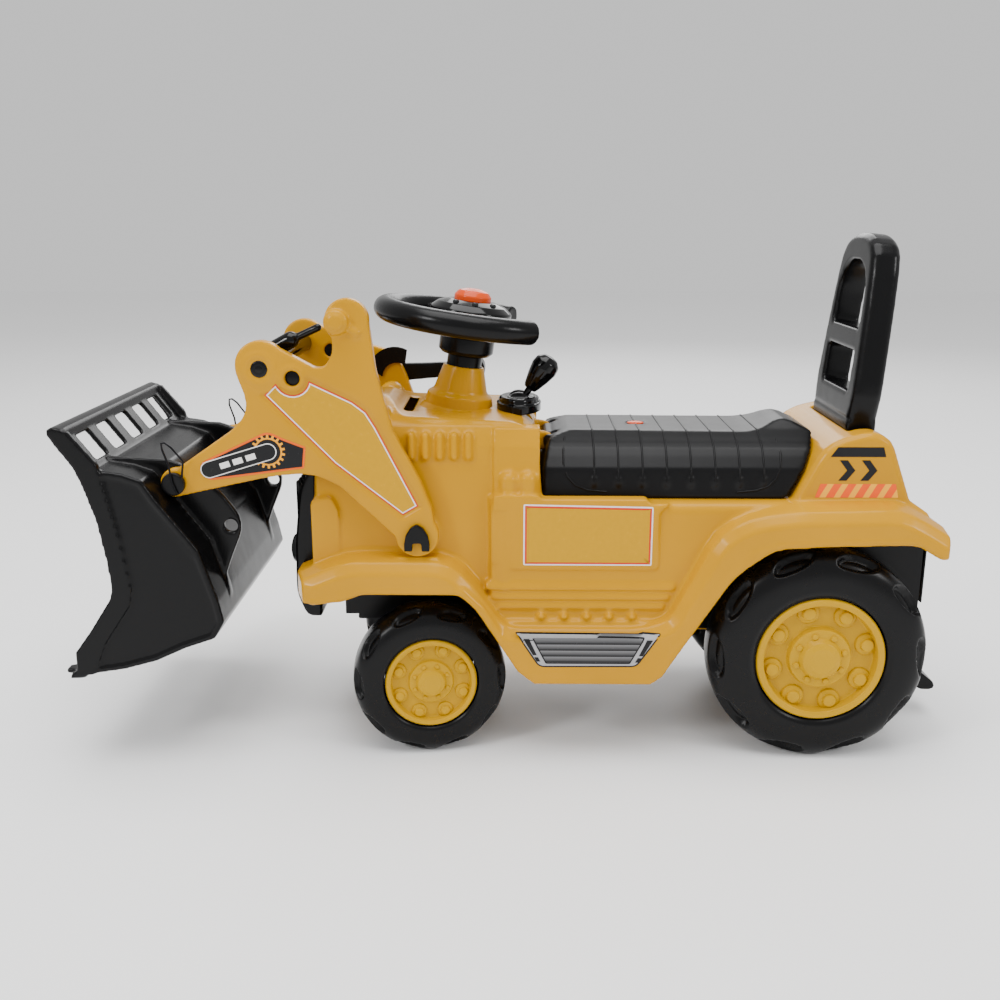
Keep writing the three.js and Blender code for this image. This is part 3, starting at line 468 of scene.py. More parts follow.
@dataclass(frozen=True)
class Moulded:
    """Moulded plastic: slight flow marks in the colour, an uneven sheen and a fine grain.

    Args:
        name: the material's name.
        colour: its middle colour.
        roughness: its middle roughness.
        uneven: how far the roughness wanders.
        grain: depth of the surface's grain, in millimetres.
        wave: depth of its slow waves, in millimetres.
        coat: weight of the clear gloss on it.
    """

    name: str
    colour: tuple[float, float, float]
    roughness: float
    uneven: float = 0.08
    grain: float = 0.04
    wave: float = 0.25
    coat: float = 0.0

    def material(self) -> bpy.types.Material:
        """Builds the material, or finds it if it is there."""
        if self.name in bpy.data.materials:
            return bpy.data.materials[self.name]
        coat = Coat(self.name)
        cloudy = coat.noise(9, 3)
        flow = coat.noise(26, 2, (1, 1, 0.25))
        colour = coat.blend(cloudy.spread(0.3, 0.7), shade(self.colour, 0.93), shade(self.colour, 1.03))
        colour = coat.blend(flow.spread(0.55, 0.8) * 0.35, colour, shade(self.colour, 1.08))
        sheen = coat.noise(60, 4) * self.uneven + (self.roughness - self.uneven / 2)
        height = coat.noise(1400, 2) * 0.3 + coat.noise(38, 1) * (self.wave / max(self.grain, 1e-3))
        return coat.finish(
            {"Base Color": colour, "Roughness": sheen, "Normal": coat.bump(height, self.grain)},
            {"Coat Weight": self.coat, "Coat Roughness": 0.08, "Specular IOR Level": PLASTIC_SHINE},
        )


@dataclass(frozen=True)
class Metal:
    """Plated steel with drawn streaks."""

    name: str
    colour: tuple[float, float, float]
    roughness: float = 0.3

    def material(self) -> bpy.types.Material:
        """Builds the material, or finds it if it is there."""
        if self.name in bpy.data.materials:
            return bpy.data.materials[self.name]
        coat = Coat(self.name)
        streaks = coat.noise(160, 3, (1, 0.15, 1))
        colour = coat.blend(streaks.spread(0.35, 0.7), shade(self.colour, 0.8), self.colour)
        sheen = streaks * 0.2 + (self.roughness - 0.1)
        return coat.finish(
            {"Base Color": colour, "Roughness": sheen, "Normal": coat.bump(streaks, 0.02)},
            {"Metallic": 1.0},
        )


@dataclass(frozen=True)
class Printed:
    """A printed vinyl sticker, plain or with a pattern.

    Args:
        name: the material's name.
        colour: the ink's colour.
        other: the pattern's second colour.
        pattern: what is printed on it.
        pitch: distance between stripes, in millimetres.
        share: part of a stripe's pitch that keeps the first colour.
    """

    name: str
    colour: tuple[float, float, float]
    other: tuple[float, float, float] = (0.02, 0.02, 0.02)
    pattern: Pattern = Pattern.PLAIN
    pitch: float = 6.0
    share: float = 0.5

    def material(self) -> bpy.types.Material:
        """Builds the material, or finds it if it is there."""
        if self.name in bpy.data.materials:
            return bpy.data.materials[self.name]
        coat = Coat(self.name)
        fleck = coat.noise(240, 3)
        ink = coat.blend(fleck.spread(0.3, 0.7), shade(self.colour, 0.96), shade(self.colour, 1.02))
        if self.pattern is not Pattern.PLAIN:
            x, _, z = coat.parts()
            lean = z if self.pattern is Pattern.LOUVRES else x + z * 0.55
            wave = (lean + 10.0).wrapped(self.pitch * MM) * (1000 / self.pitch)
            louvres = self.pattern is Pattern.LOUVRES
            mask = wave.spread(0.1, 0.95) if louvres else wave.above(self.share)
            ink = coat.blend(mask, ink, self.other)
        sheen = fleck * 0.08 + 0.22
        return coat.finish({"Base Color": ink, "Roughness": sheen}, {"Specular IOR Level": VINYL_SHINE})


YELLOW = Moulded("moulded_yellow", (0.52, 0.245, 0.0), 0.22, 0.08, 0.03, 0.12)
LEMON = Moulded("moulded_lemon", (0.50, 0.275, 0.0), 0.28, 0.08, 0.03, 0.08)
BLACK = Moulded("moulded_black", (0.003, 0.003, 0.0033), 0.24, 0.1, 0.03, 0.2)
SATIN = Moulded("moulded_satin", (0.004, 0.004, 0.0044), 0.32, 0.08, 0.06, 0.1)
GLOSS = Moulded("moulded_gloss", (0.002, 0.002, 0.0022), 0.1, 0.04, 0.02, 0.1, 0.15)
TYRE = Moulded("moulded_tyre", (0.0035, 0.0035, 0.0038), 0.28, 0.1, 0.06, 0.2)
ORANGE = Moulded("moulded_orange", (0.62, 0.055, 0.0), 0.2, 0.06, 0.02, 0.1, 0.1)
GREY = Moulded("moulded_grey", (0.02, 0.021, 0.022), 0.24, 0.06, 0.02, 0.1)
STEEL = Metal("drawn_steel", (0.62, 0.63, 0.65))
WIRE = Metal("drawn_wire", (0.02, 0.02, 0.022), 0.35)
FIELD = Printed("sticker_field", (0.53, 0.275, 0.0))
WHITE = Printed("sticker_white", (0.82, 0.80, 0.78))
RED = Printed("sticker_red", (0.60, 0.035, 0.012))
FLAME = Printed("sticker_flame", (0.80, 0.12, 0.008))
AMBER = Printed("sticker_amber", (0.90, 0.36, 0.01))
INK = Printed("sticker_ink", (0.012, 0.012, 0.013))
SILVER = Printed("sticker_silver", (0.36, 0.36, 0.37))
LOUVRE = Printed("sticker_louvres", (0.012, 0.012, 0.013), (0.16, 0.16, 0.165), Pattern.LOUVRES, 5.6)
HAZARD = Printed("sticker_hazard", (0.86, 0.10, 0.008), (0.92, 0.42, 0.02), Pattern.HAZARD, 12.5, 0.56)

Finish = Moulded | Metal | Printed


def dress(
    obj: bpy.types.Object, finish: Finish, body: str, nodes: Iterable[str] = ()
) -> bpy.types.Object:
    """Gives a piece its finish and fixes it to its body.

    Args:
        obj: the piece.
        finish: what it is made of.
        body: the body that it rides on.
        nodes: the plain solids that it stands for.

    Returns:
        The piece.
    """
    obj.data.materials.clear()
    obj.data.materials.append(finish.material())
    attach(obj, body)
    for node in nodes:
        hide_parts(node)
    LOG.info("%s: %d faces on %s", obj.name, len(obj.data.polygons), body)
    return obj


def repaint(names: Iterable[str], finish: Finish) -> None:
    """Gives plain solids that stay their finish."""
    for name in names:
        materials = frame["nodes"][name].data.materials
        materials.clear()
        materials.append(finish.material())


# ------------------------------------------------------------------ moulded pieces
@dataclass
class Mould:
    """Fuses solids and extra shapes into one soft-edged moulding.

    Args:
        grid: fineness, in millimetres.
        rounds: how often the surface is smoothed.
        faces: most triangles that are kept.
    """

    grid: float = 2.0
    rounds: int = 6
    faces: int = 60_000

    def cast(
        self, name: str, nodes: Sequence[str], extra: Clay | None = None, cut: Clay | None = None
    ) -> bpy.types.Object:
        """Casts a piece.

        Args:
            name: the piece's name.
            nodes: plain solids that give its shape.
            extra: shapes that are added.
            cut: shapes that are taken away from the plain solids.

        Returns:
            The piece, not dressed yet.
        """
        clay = Clay()
        for node in nodes:
            clay.take(frame["nodes"][node].data)
        if cut is not None:
            blank = stand(name, clay.mesh(name))
            tool = stand("tool", cut.mesh("tool"))
            carve = blank.modifiers.new("carve", "BOOLEAN")
            carve.object = tool
            carve.operation = "DIFFERENCE"
            carve.solver = "EXACT"
            carve.use_self = True
            clay.bm.from_mesh(settled(blank))
            bpy.data.objects.remove(tool)
        if extra is not None:
            clay.bm.from_mesh(extra.mesh("extra"))
        blank = stand(name, clay.mesh(name))
        fuse = blank.modifiers.new("fuse", "REMESH")
        fuse.mode = "VOXEL"
        fuse.voxel_size = self.grid * MM * 1
        soften = blank.modifiers.new("soften", "SMOOTH")
        soften.factor, soften.iterations = 0.5, self.rounds
        mesh = settled(blank)
        blank = stand(name, mesh)
        triangles = 2 * len(mesh.polygons)
        if triangles > self.faces:
            thin = blank.modifiers.new("thin", "DECIMATE")
            thin.ratio = self.faces / triangles
            blank = stand(name, settled(blank))
        blank.name = name
        blank.data.shade_smooth()
        return blank


def turned(name: str, profile: Sequence[Point], place: Matrix, sides: int = ROUND) -> bpy.types.Object:
    """Turns a piece with smooth faces and crisp edges.

    Args:
        name: the piece's name.
        profile: (radius, height) points, as Clay.lathe() takes them.
        place: moves the piece from its own Z axis into the frame.
        sides: number of sides.

    Returns:
        The piece, not dressed yet.
    """
    made = stand(name, Clay().lathe(profile, place, sides).mesh(name))
    made.data.shade_smooth()
    made.data.set_sharp_from_angle(angle=math.radians(35))
    return made


# ------------------------------------------------------------------ repeated pieces
class Repeat:
    """Geometry Nodes tree that sets copies of a shape on a ring or a row of points."""

    def __init__(self, name: str, ring: bool) -> None:
        """Builds the tree.

        Args:
            name: the tree's name.
            ring: True for a ring about Z, False for a straight row.
        """
        self.tree = bpy.data.node_groups.new(name, "GeometryNodeTree")
        face = self.tree.interface
        self.ids: dict[str, str] = {}
        for label, kind in (
            ("Shape", "NodeSocketObject"),
            ("Count", "NodeSocketInt"),
            ("Radius", "NodeSocketFloat"),
            ("Phase", "NodeSocketFloat"),
            ("Step", "NodeSocketVector"),
            ("Material", "NodeSocketMaterial"),
        ):
            self.ids[label] = face.new_socket(label, in_out="INPUT", socket_type=kind).identifier
        face.new_socket("Geometry", in_out="OUTPUT", socket_type="NodeSocketGeometry")
        given = self.tree.nodes.new("NodeGroupInput").outputs
        if ring:
            points = self._add("GeometryNodeMeshCircle", Vertices=given["Count"], Radius=given["Radius"])
            pitch = self._math("DIVIDE", math.tau, given["Count"])
            angle = self._math("MULTIPLY", self._add("GeometryNodeInputIndex").outputs[0], pitch.outputs[0])
            turn = self._add("ShaderNodeCombineXYZ", Z=angle.outputs[0])
            whole = self._add("ShaderNodeCombineXYZ", Z=given["Phase"])
        else:
            points = self._add("GeometryNodeMeshLine", Count=given["Count"], Offset=given["Step"])
            turn = self._add("ShaderNodeCombineXYZ")
            whole = self._add("ShaderNodeCombineXYZ")
        shape = self._add("GeometryNodeObjectInfo", Object=given["Shape"])
        copies = self._add(
            "GeometryNodeInstanceOnPoints",
            Points=points.outputs["Mesh"],
            Instance=shape.outputs["Geometry"],
            Rotation=turn.outputs[0],
        )
        phased = self._add("GeometryNodeTransform", Geometry=copies.outputs[0], Rotation=whole.outputs[0])
        real = self._add("GeometryNodeRealizeInstances", Geometry=phased.outputs[0])
        dressed = self._add("GeometryNodeSetMaterial", Geometry=real.outputs[0], Material=given["Material"])
        end = self.tree.nodes.new("NodeGroupOutput")
        self.tree.links.new(dressed.outputs[0], end.inputs[0])

    def _add(self, kind: str, **inputs: object) -> bpy.types.Node:
        """Adds a node and sets or links its named sockets."""
        made = self.tree.nodes.new(kind)
        for key, value in inputs.items():
            socket = made.inputs[key]
            if isinstance(value, bpy.types.NodeSocket):
                self.tree.links.new(value, socket)
            else:
                socket.default_value = value
        return made

    def _math(self, kind: str, a: object, b: object) -> bpy.types.Node:
        """Adds a Math node."""
        made = self.tree.nodes.new("ShaderNodeMath")
        made.operation = kind
        for socket, value in zip(made.inputs, (a, b)):
            if isinstance(value, bpy.types.NodeSocket):
                self.tree.links.new(value, socket)
            else:
                socket.default_value = value
        return made

    def mesh(self, shape: bpy.types.Mesh, finish: Finish, place: Matrix, **sizes: object) -> bpy.types.Mesh:
        """Makes the copies.

        Args:
            shape: mesh of one copy, about its own origin, in metres.
            finish: what the copies are made of.
            place: moves the ring or the row into the frame.
            sizes: values of the tree's inputs by label.

        Returns:
            One plain mesh of all copies.
        """
        model = stand("model", shape)
        host = stand("host", bpy.data.meshes.new("host"))
        run = host.modifiers.new("repeat", "NODES")
        run.node_group = self.tree
        for label, value in {"Shape": model, "Material": finish.material(), **sizes}.items():
            run[self.ids[label]] = value
        made = settled(host)
        bpy.data.objects.remove(model)
        made.transform(place)
        return made


RING = Repeat("ring_of_copies", True)
ROW = Repeat("row_of_copies", False)


class PathBars:
    """Geometry Nodes tree that turns paths into round bars."""

    def __init__(self) -> None:
        """Builds the tree."""
        self.tree = bpy.data.node_groups.new("bars_on_paths", "GeometryNodeTree")
        face = self.tree.interface
        self.ids: dict[str, str] = {}
        for label, kind in (
            ("Paths", "NodeSocketGeometry"),
            ("Radius", "NodeSocketFloat"),
            ("Material", "NodeSocketMaterial"),
        ):
            self.ids[label] = face.new_socket(label, in_out="INPUT", socket_type=kind).identifier
        face.new_socket("Geometry", in_out="OUTPUT", socket_type="NodeSocketGeometry")
        nodes, link = self.tree.nodes, self.tree.links.new
        given = nodes.new("NodeGroupInput").outputs
        ring = nodes.new("GeometryNodeCurvePrimitiveCircle")
        ring.inputs["Resolution"].default_value = 10
        link(given["Radius"], ring.inputs["Radius"])
        bars = nodes.new("GeometryNodeCurveToMesh")
        bars.inputs["Fill Caps"].default_value = True
        link(given["Paths"], bars.inputs["Curve"])
        link(ring.outputs["Curve"], bars.inputs["Profile Curve"])
        real = nodes.new("GeometryNodeRealizeInstances")
        link(bars.outputs[0], real.inputs[0])
        dressed = nodes.new("GeometryNodeSetMaterial")
        link(real.outputs[0], dressed.inputs["Geometry"])
        link(given["Material"], dressed.inputs["Material"])
        link(dressed.outputs[0], nodes.new("NodeGroupOutput").inputs[0])

    def mesh(self, paths: Sequence[Sequence[Vector]], radius: float, finish: Finish) -> bpy.types.Mesh:
        """Makes the bars.

        Args:
            paths: places in metres along each bar.
            radius: of every bar.
            finish: what the bars are made of.

        Returns:
            One plain mesh of all bars.
        """
        line = bpy.data.curves.new("paths", "CURVE")
        line.dimensions = "3D"
        for path in paths:
            spline = line.splines.new("POLY")
            spline.points.add(len(path) - 1)
            for point, place in zip(spline.points, path):
                point.co = (*place, 1)
        host = bpy.data.objects.new("host", line)
        bpy.context.scene.collection.objects.link(host)
        run = host.modifiers.new("bars", "NODES")
        run.node_group = self.tree
        run[self.ids["Radius"]] = radius * MM
        run[self.ids["Material"]] = finish.material()
        graph = bpy.context.evaluated_depsgraph_get()
        graph.update()
        made = bpy.data.meshes.new_from_object(host.evaluated_get(graph))
        bpy.data.objects.remove(host)
        return made


BARS = PathBars()


# ------------------------------------------------------------------ stickers
@dataclass
class Sticker:
    """A thin printed sheet laid on the side of a piece, following its surface.

    Args:
        onto: the surface under it.
        side: 1 on the left, -1 on the right.
        cell: size of the sheet's faces.
        lift: height of each layer.
        thick: thickness of the sheet.
        stray: how far the surface may lie from its middle level before it is passed over.
    """

    onto: BVHTree
    side: int
    cell: float = 7.0
    lift: float = 0.3
    thick: float = 0.5
    stray: float = 5.0

    def lay(self, name: str, outline: Sequence[Point], layer: int) -> bpy.types.Object:
        """Lays one sheet.

        Args:
            name: the piece's name.
            outline: (x, z) points.
            layer: how many sheets lie under it.

        Returns:
            The sheet, not dressed yet.
        """
        bm = bmesh.new()
        bm.faces.new([bm.verts.new(at(x, self.side * OUTSIDE, z)) for x, z in outline])
        for axis, normal in ((0, (1, 0, 0)), (1, (0, 0, 1))):
            low, high = min(p[axis] for p in outline), max(p[axis] for p in outline)
            for k in range(1, int((high - low) / self.cell) + 1):
                value = low + k * self.cell
                spot = at(value, 0, 0) if axis == 0 else at(0, 0, value)
                geometry = [*bm.verts, *bm.edges, *bm.faces]
                bmesh.ops.bisect_plane(bm, geom=geometry, plane_co=spot, plane_no=normal)
        inward = Vector((0, -self.side, 0))
        hits = [self.onto.ray_cast(vertex.co, inward)[0] for vertex in bm.verts]
        found = sorted(hit.y for hit in hits if hit is not None)
        level = found[len(found) // 2]
        for vertex, hit in zip(bm.verts, hits):
            flat = hit is None or abs(hit.y - level) > self.stray * MM
            vertex.co.y = (level if flat else hit.y) + self.side * self.lift * (layer + 1) * MM
        bmesh.ops.recalc_face_normals(bm, faces=bm.faces)
        if bm.faces and sum(f.normal.y for f in bm.faces) * self.side < 0:
            bmesh.ops.reverse_faces(bm, faces=bm.faces)
        mesh = bpy.data.meshes.new(name)
        bm.to_mesh(mesh)
        bm.free()
        sheet = stand(name, mesh)
        body = sheet.modifiers.new("body", "SOLIDIFY")
        body.thickness, body.offset = self.thick * MM, -1
        return stand(name, settled(sheet))


# ------------------------------------------------------------------ body
@dataclass
class Body:
    """The yellow shell with its hood, fenders, tower and stickers, and black sheets that darken the wheel
    arches.

    Args:
        skin: fineness of the casting.
        side: from the middle plane to the side wall.
        flutes: place of the first flute, their pitch and their number.
        ribs: heights of the lapped boards.
        bumps: place of the first dome, their pitch and their number.
        capsules: places of the two upright capsules.
    """

    skin: float = 1.8
    side: float = 97.0
    flutes: tuple[float, float, float] = (311.0, 12.4, 5)
    ribs: tuple[float, ...] = (165.0, 156.5, 148.0)
    bumps: tuple[float, float, int] = (167.0, 20.0, 5)
    capsules: tuple[float, ...] = (259.5, 276.0)

    def extras(self) -> Clay:
        """Small raised shapes on both sides of the shell."""
        clay = Clay()
        for _, s in SIDES:
            self._sill(clay, s)
            self._hood_side(clay, s)
            self._lips(clay, s)
            low = [(145, 177, 5), (276, 177, 3)]
            panel = rounded([*low, (276, 240.5, 3), (157, 240.5, 3), (145, 229, 3)], 4)
            clay.slab(panel, s * 84, s * (self.side + 2.0))
            clay.ball(at(392, s * 60, 306), (13, 16, 13))
        return clay

    def _sill(self, clay: Clay, s: int) -> None:
        """Adds three lapped boards, the row of small domes and the bead above the vent."""
        for k, z in enumerate(self.ribs):
            low, high = 130 + 4.5 * k, 296 - 5.5 * k
            face = [(s * (self.side + 0.6), z), (s * (self.side + 3.6), z - 6.6)]
            clay.slab([(s * 90, z), *face, (s * 90, z - 7.4)], low, high, "X")
        bead = s * (self.side + 4)
        clay.rod(at(146, bead, 128.5), at(276, bead, 128.5), 2.2, 14, True)
        dome = Clay().ball(Vector((0, 0, 0)), (4.2, 6, 3.6)).mesh("dome")
        start, step, count = self.bumps
        place = Matrix.Translation(at(start, s * (self.side + 2), 134))
        clay.bm.from_mesh(ROW.mesh(dome, YELLOW, place, Count=count, Step=(step * MM, 0, 0)))

    def _hood_side(self, clay: Clay, s: int) -> None:
        """Adds the flutes, the capsules on their plinth, the round corner and the front pillar."""
        start, step, count = self.flutes
        low, high = Vector((0, s * 86.2, 275)) * MM, Vector((0, s * 83.6, 293)) * MM
        flute = Clay().rod(low, high, 3.4, 16, True).mesh("flute")
        place = Matrix.Translation(at(start, 0, 0))
        clay.bm.from_mesh(ROW.mesh(flute, YELLOW, place, Count=count, Step=(step * MM, 0, 0)))
        corner = [(s * 90, 237), (s * 86.4, 284), (s * 81, 299)]
        clay.slab([(s * 70, 237), *corner, (s * 70, 301)], 249, 289, "X")
        plinth = rounded([(249, 230), (289, 230), (289, 243.5, 2), (249, 243.5, 2)], 3)
        clay.slab(plinth, s * 70, s * 99)
        for x in self.capsules:
            clay.rod(at(x, s * 88.6, 238), at(x, s * 88, 255), 8.4, 28, True)
        clay.rod(at(279.5, s * 84.5, 150), at(279.5, s * 84.5, 240), 14, 40)
        pillar = rounded([(425, 170), (449, 170), (449, 236, 4), (431, 241, 12), (425, 228, 4)])
        clay.slab(pillar, s * 60, s * 90)

    def _lips(self, clay: Clay, s: int) -> None:
        """Adds a round lip along the edge of both fenders."""
        top = [(-96, 195), (-74, 208), (-8, 207), (44, 204.5)]
        rear = [*top, (66, 197), (83, 179), (104, 148), (143, 84)]
        front = [(264, 88), (301, 146), (317, 161.5), (404, 161.5), (421, 155), (447, 151.5)]
        for path in (rear, front):
            for a, b in zip(path, path[1:]):
                clay.rod(at(a[0], s * 111.6, a[1]), at(b[0], s * 111.6, b[1]), 4.0, 20, True)

    def _tower(self) -> None:
        """Turns the stepped tower round the column."""
        foot = [(16.6, -72), (37.6, -72), (36.4, -56, 3), (31.8, -51, 3)]
        step = [(30.2, -41.5, 3), (26.2, -38.6, 1.5), (25.2, -37.6, 0.8), (24.4, -35.8, 1)]
        profile = rounded([*foot, *step, (18.6, -14.4, 1.5), (16.6, -14.4)], 4)
        tower = turned("tower_skin", profile, Column().place(0), 96)
        dress(tower, YELLOW, "body")

    def _wheel_well_sheets(self) -> None:
        """Black sheets that darken the inner walls of the wheel arches, and a black plate across the tail.
        """
        low = [(-101, 184), (-101, 100), (-62, 84), (44, 84), (50, 106), (128, 106)]
        arch = [*low, (84, 172), (48, 197), (-90, 197)]
        front = [(272, 112), (430, 112), (430, 146), (405, 155), (318, 155), (304, 141)]
        for word, s in SIDES:
            # dark sheets over the walls inside the wheel wells, and a black plate on the tail
            clay = Clay().slab(arch, s * 54.3, s * 55.6)
            clay.slab(front, s * 36.3, s * 37.6)
            tail = [(s * 2, 132), (s * 55, 132), (s * 55, 188), (s * 2, 188)]
            clay.slab(tail, -104.4, -103.2, "X")
            dress(stand(f"arch_liner_{word}", clay.mesh("dark_plates")), SATIN, "body")

    def build(self) -> None:
        """Casts the shell and lays its stickers."""
        mould = Mould(self.skin, 3, 190_000)
        shell = mould.cast("shell", ["body_shell"], self.extras())
        dress(shell, YELLOW, "body", ["body_shell"])
        self._tower()
        self._wheel_well_sheets()
        tree = surface_of(shell)
        for word, s in SIDES:
            self._side_sticker(tree, word, s)
            self._vent(tree, word, s)
            self._rear_sticker(tree, word, s)

    def _side_sticker(self, tree: BVHTree, word: str, s: int) -> None:
        """The plain panel under the seat with its red and white lines."""
        edge = rounded([(151, 181, 1.5), (263, 181, 1.5), (263, 236, 1.5), (151, 234, 1.5)], 3)
        sheet = Sticker(tree, s)
        lines = ((0, WHITE, "edge"), (1.3, RED, "line"), (2.9, FIELD, "field"))
        for layer, (depth, finish, label) in enumerate(lines):
            made = sheet.lay(f"side_sticker_{label}_{word}", inset(edge, depth), layer)
            dress(made, finish, "body")

    def _vent(self, tree: BVHTree, word: str, s: int) -> None:
        """The printed vent on the sill."""
        edge = rounded([(270, 124.5, 1), (142, 123.5, 1), (163, 92.5, 9), (249, 92, 9)], 4)
        sheet = Sticker(tree, s, 5.0)
        inner = rounded([(256, 121, 1), (156, 120, 1), (169, 95.5, 2), (243, 95.5, 2)], 2)
        sheets = (
            (edge, INK, "edge"),
            (inset(edge, 1.4), SILVER, "frame"),
            (inner, INK, "seat"),
            (inset(inner, 1.2), LOUVRE, "louvres"),
        )
        for layer, (outline, finish, label) in enumerate(sheets):
            made = sheet.lay(f"vent_{label}_{word}", outline, layer)
            dress(made, finish, "body")
        for label, bar in (
            ("front", [(262.5, 118), (257.5, 118), (250.8, 103.5), (254.2, 103.5)]),
            ("rear", [(149.5, 117.5), (154.5, 117.5), (161.2, 103), (157.8, 103)]),
            ("front_low", [(253, 101.5), (249.8, 101.5), (247.5, 97.5), (250.8, 97.5)]),
            ("rear_low", [(159, 101), (162.2, 101), (164.5, 97), (161.2, 97)]),
        ):
            dress(sheet.lay(f"vent_slot_{label}_{word}", bar, 2), INK, "body")

    def _rear_sticker(self, tree: BVHTree, word: str, s: int) -> None:
        """Plain generic marks on the hump: a dark bar, two chevrons and hazard stripes."""
        sheet = Sticker(tree, s)
        header = [(-1, 276), (-7, 284.5), (-46, 284.5), (-48.5, 276)]
        stripes = [(10, 240), (6, 252), (-59, 252), (-62, 240)]
        dress(sheet.lay(f"rear_header_{word}", header, 0), INK, "body")
        dress(sheet.lay(f"rear_stripes_{word}", stripes, 0), HAZARD, "body")
        for k, x in enumerate((-9.0, -28.0)):
            mark = [(x, 273), (x - 7, 273), (x - 14, 264), (x - 7, 255), (x, 255), (x - 7, 264)]
            dress(sheet.lay(f"rear_chevron_{k + 1}_{word}", mark, 0), INK, "body")


@dataclass
class Nose:
    """The black grille with its upright bars, and the headlamps."""

    ribs: int = 9
    pitch: float = 12.0

    def build(self) -> None:
        """Casts the grille and the lamps."""
        low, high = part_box("front_grille")
        bar = Clay().rod(Vector((0, 0, -0.05)), Vector((0, 0, 0.05)), 2.2, 12, True).mesh("bar")
        start = Vector((high.x - 0.0035, -0.048, (low.z + high.z) / 2 + 0.004))
        extra = Clay()
        step = (0, self.pitch * MM, 0)
        extra.bm.from_mesh(ROW.mesh(bar, BLACK, Matrix.Translation(start), Count=self.ribs, Step=step))
        grille = Mould(1.5, 4, 60_000).cast("grille", ["front_grille"], extra)
        dress(grille, BLACK, "body", ["front_grille"])
        for word, s in SIDES:
            lamp = Mould(1.0, 5, 12_000).cast(f"lamp_{word}", [f"headlamp_{word}"])
            dress(lamp, GREY, "body", [f"headlamp_{word}"])


@dataclass
class Underside:
    """The black tray, axles, hook and leg."""

    cast: tuple[tuple[str, float], ...] = (
        ("chassis_pan", 1.8),
        ("tow_hook", 0.9),
        ("tip_stop", 1.2),
        ("front_axle_beam", 1.2),
    )
    steel: tuple[str, ...] = (
        "rear_axle",
        "kingpin_left",
        "kingpin_right",
        "seat_pin",
        "push_nut_rear_left",
        "push_nut_rear_right",
        "push_nut_front_left",
        "push_nut_front_right",
        "tie_rod",
    )

    def build(self) -> None:
        """Casts the black pieces and dresses the steel ones."""
        for node, grid in self.cast:
            made = Mould(grid, 4, 90_000).cast(f"{node}_cast", [node])
            dress(made, SATIN, "body", [node])
        for word, _ in SIDES:
            made = Mould(1.1, 3, 30_000).cast(f"knuckle_{word}_cast", [f"knuckle_{word}"])
            dress(made, SATIN, f"knuckle_{word}", [f"knuckle_{word}"])
        repaint(self.steel, STEEL)


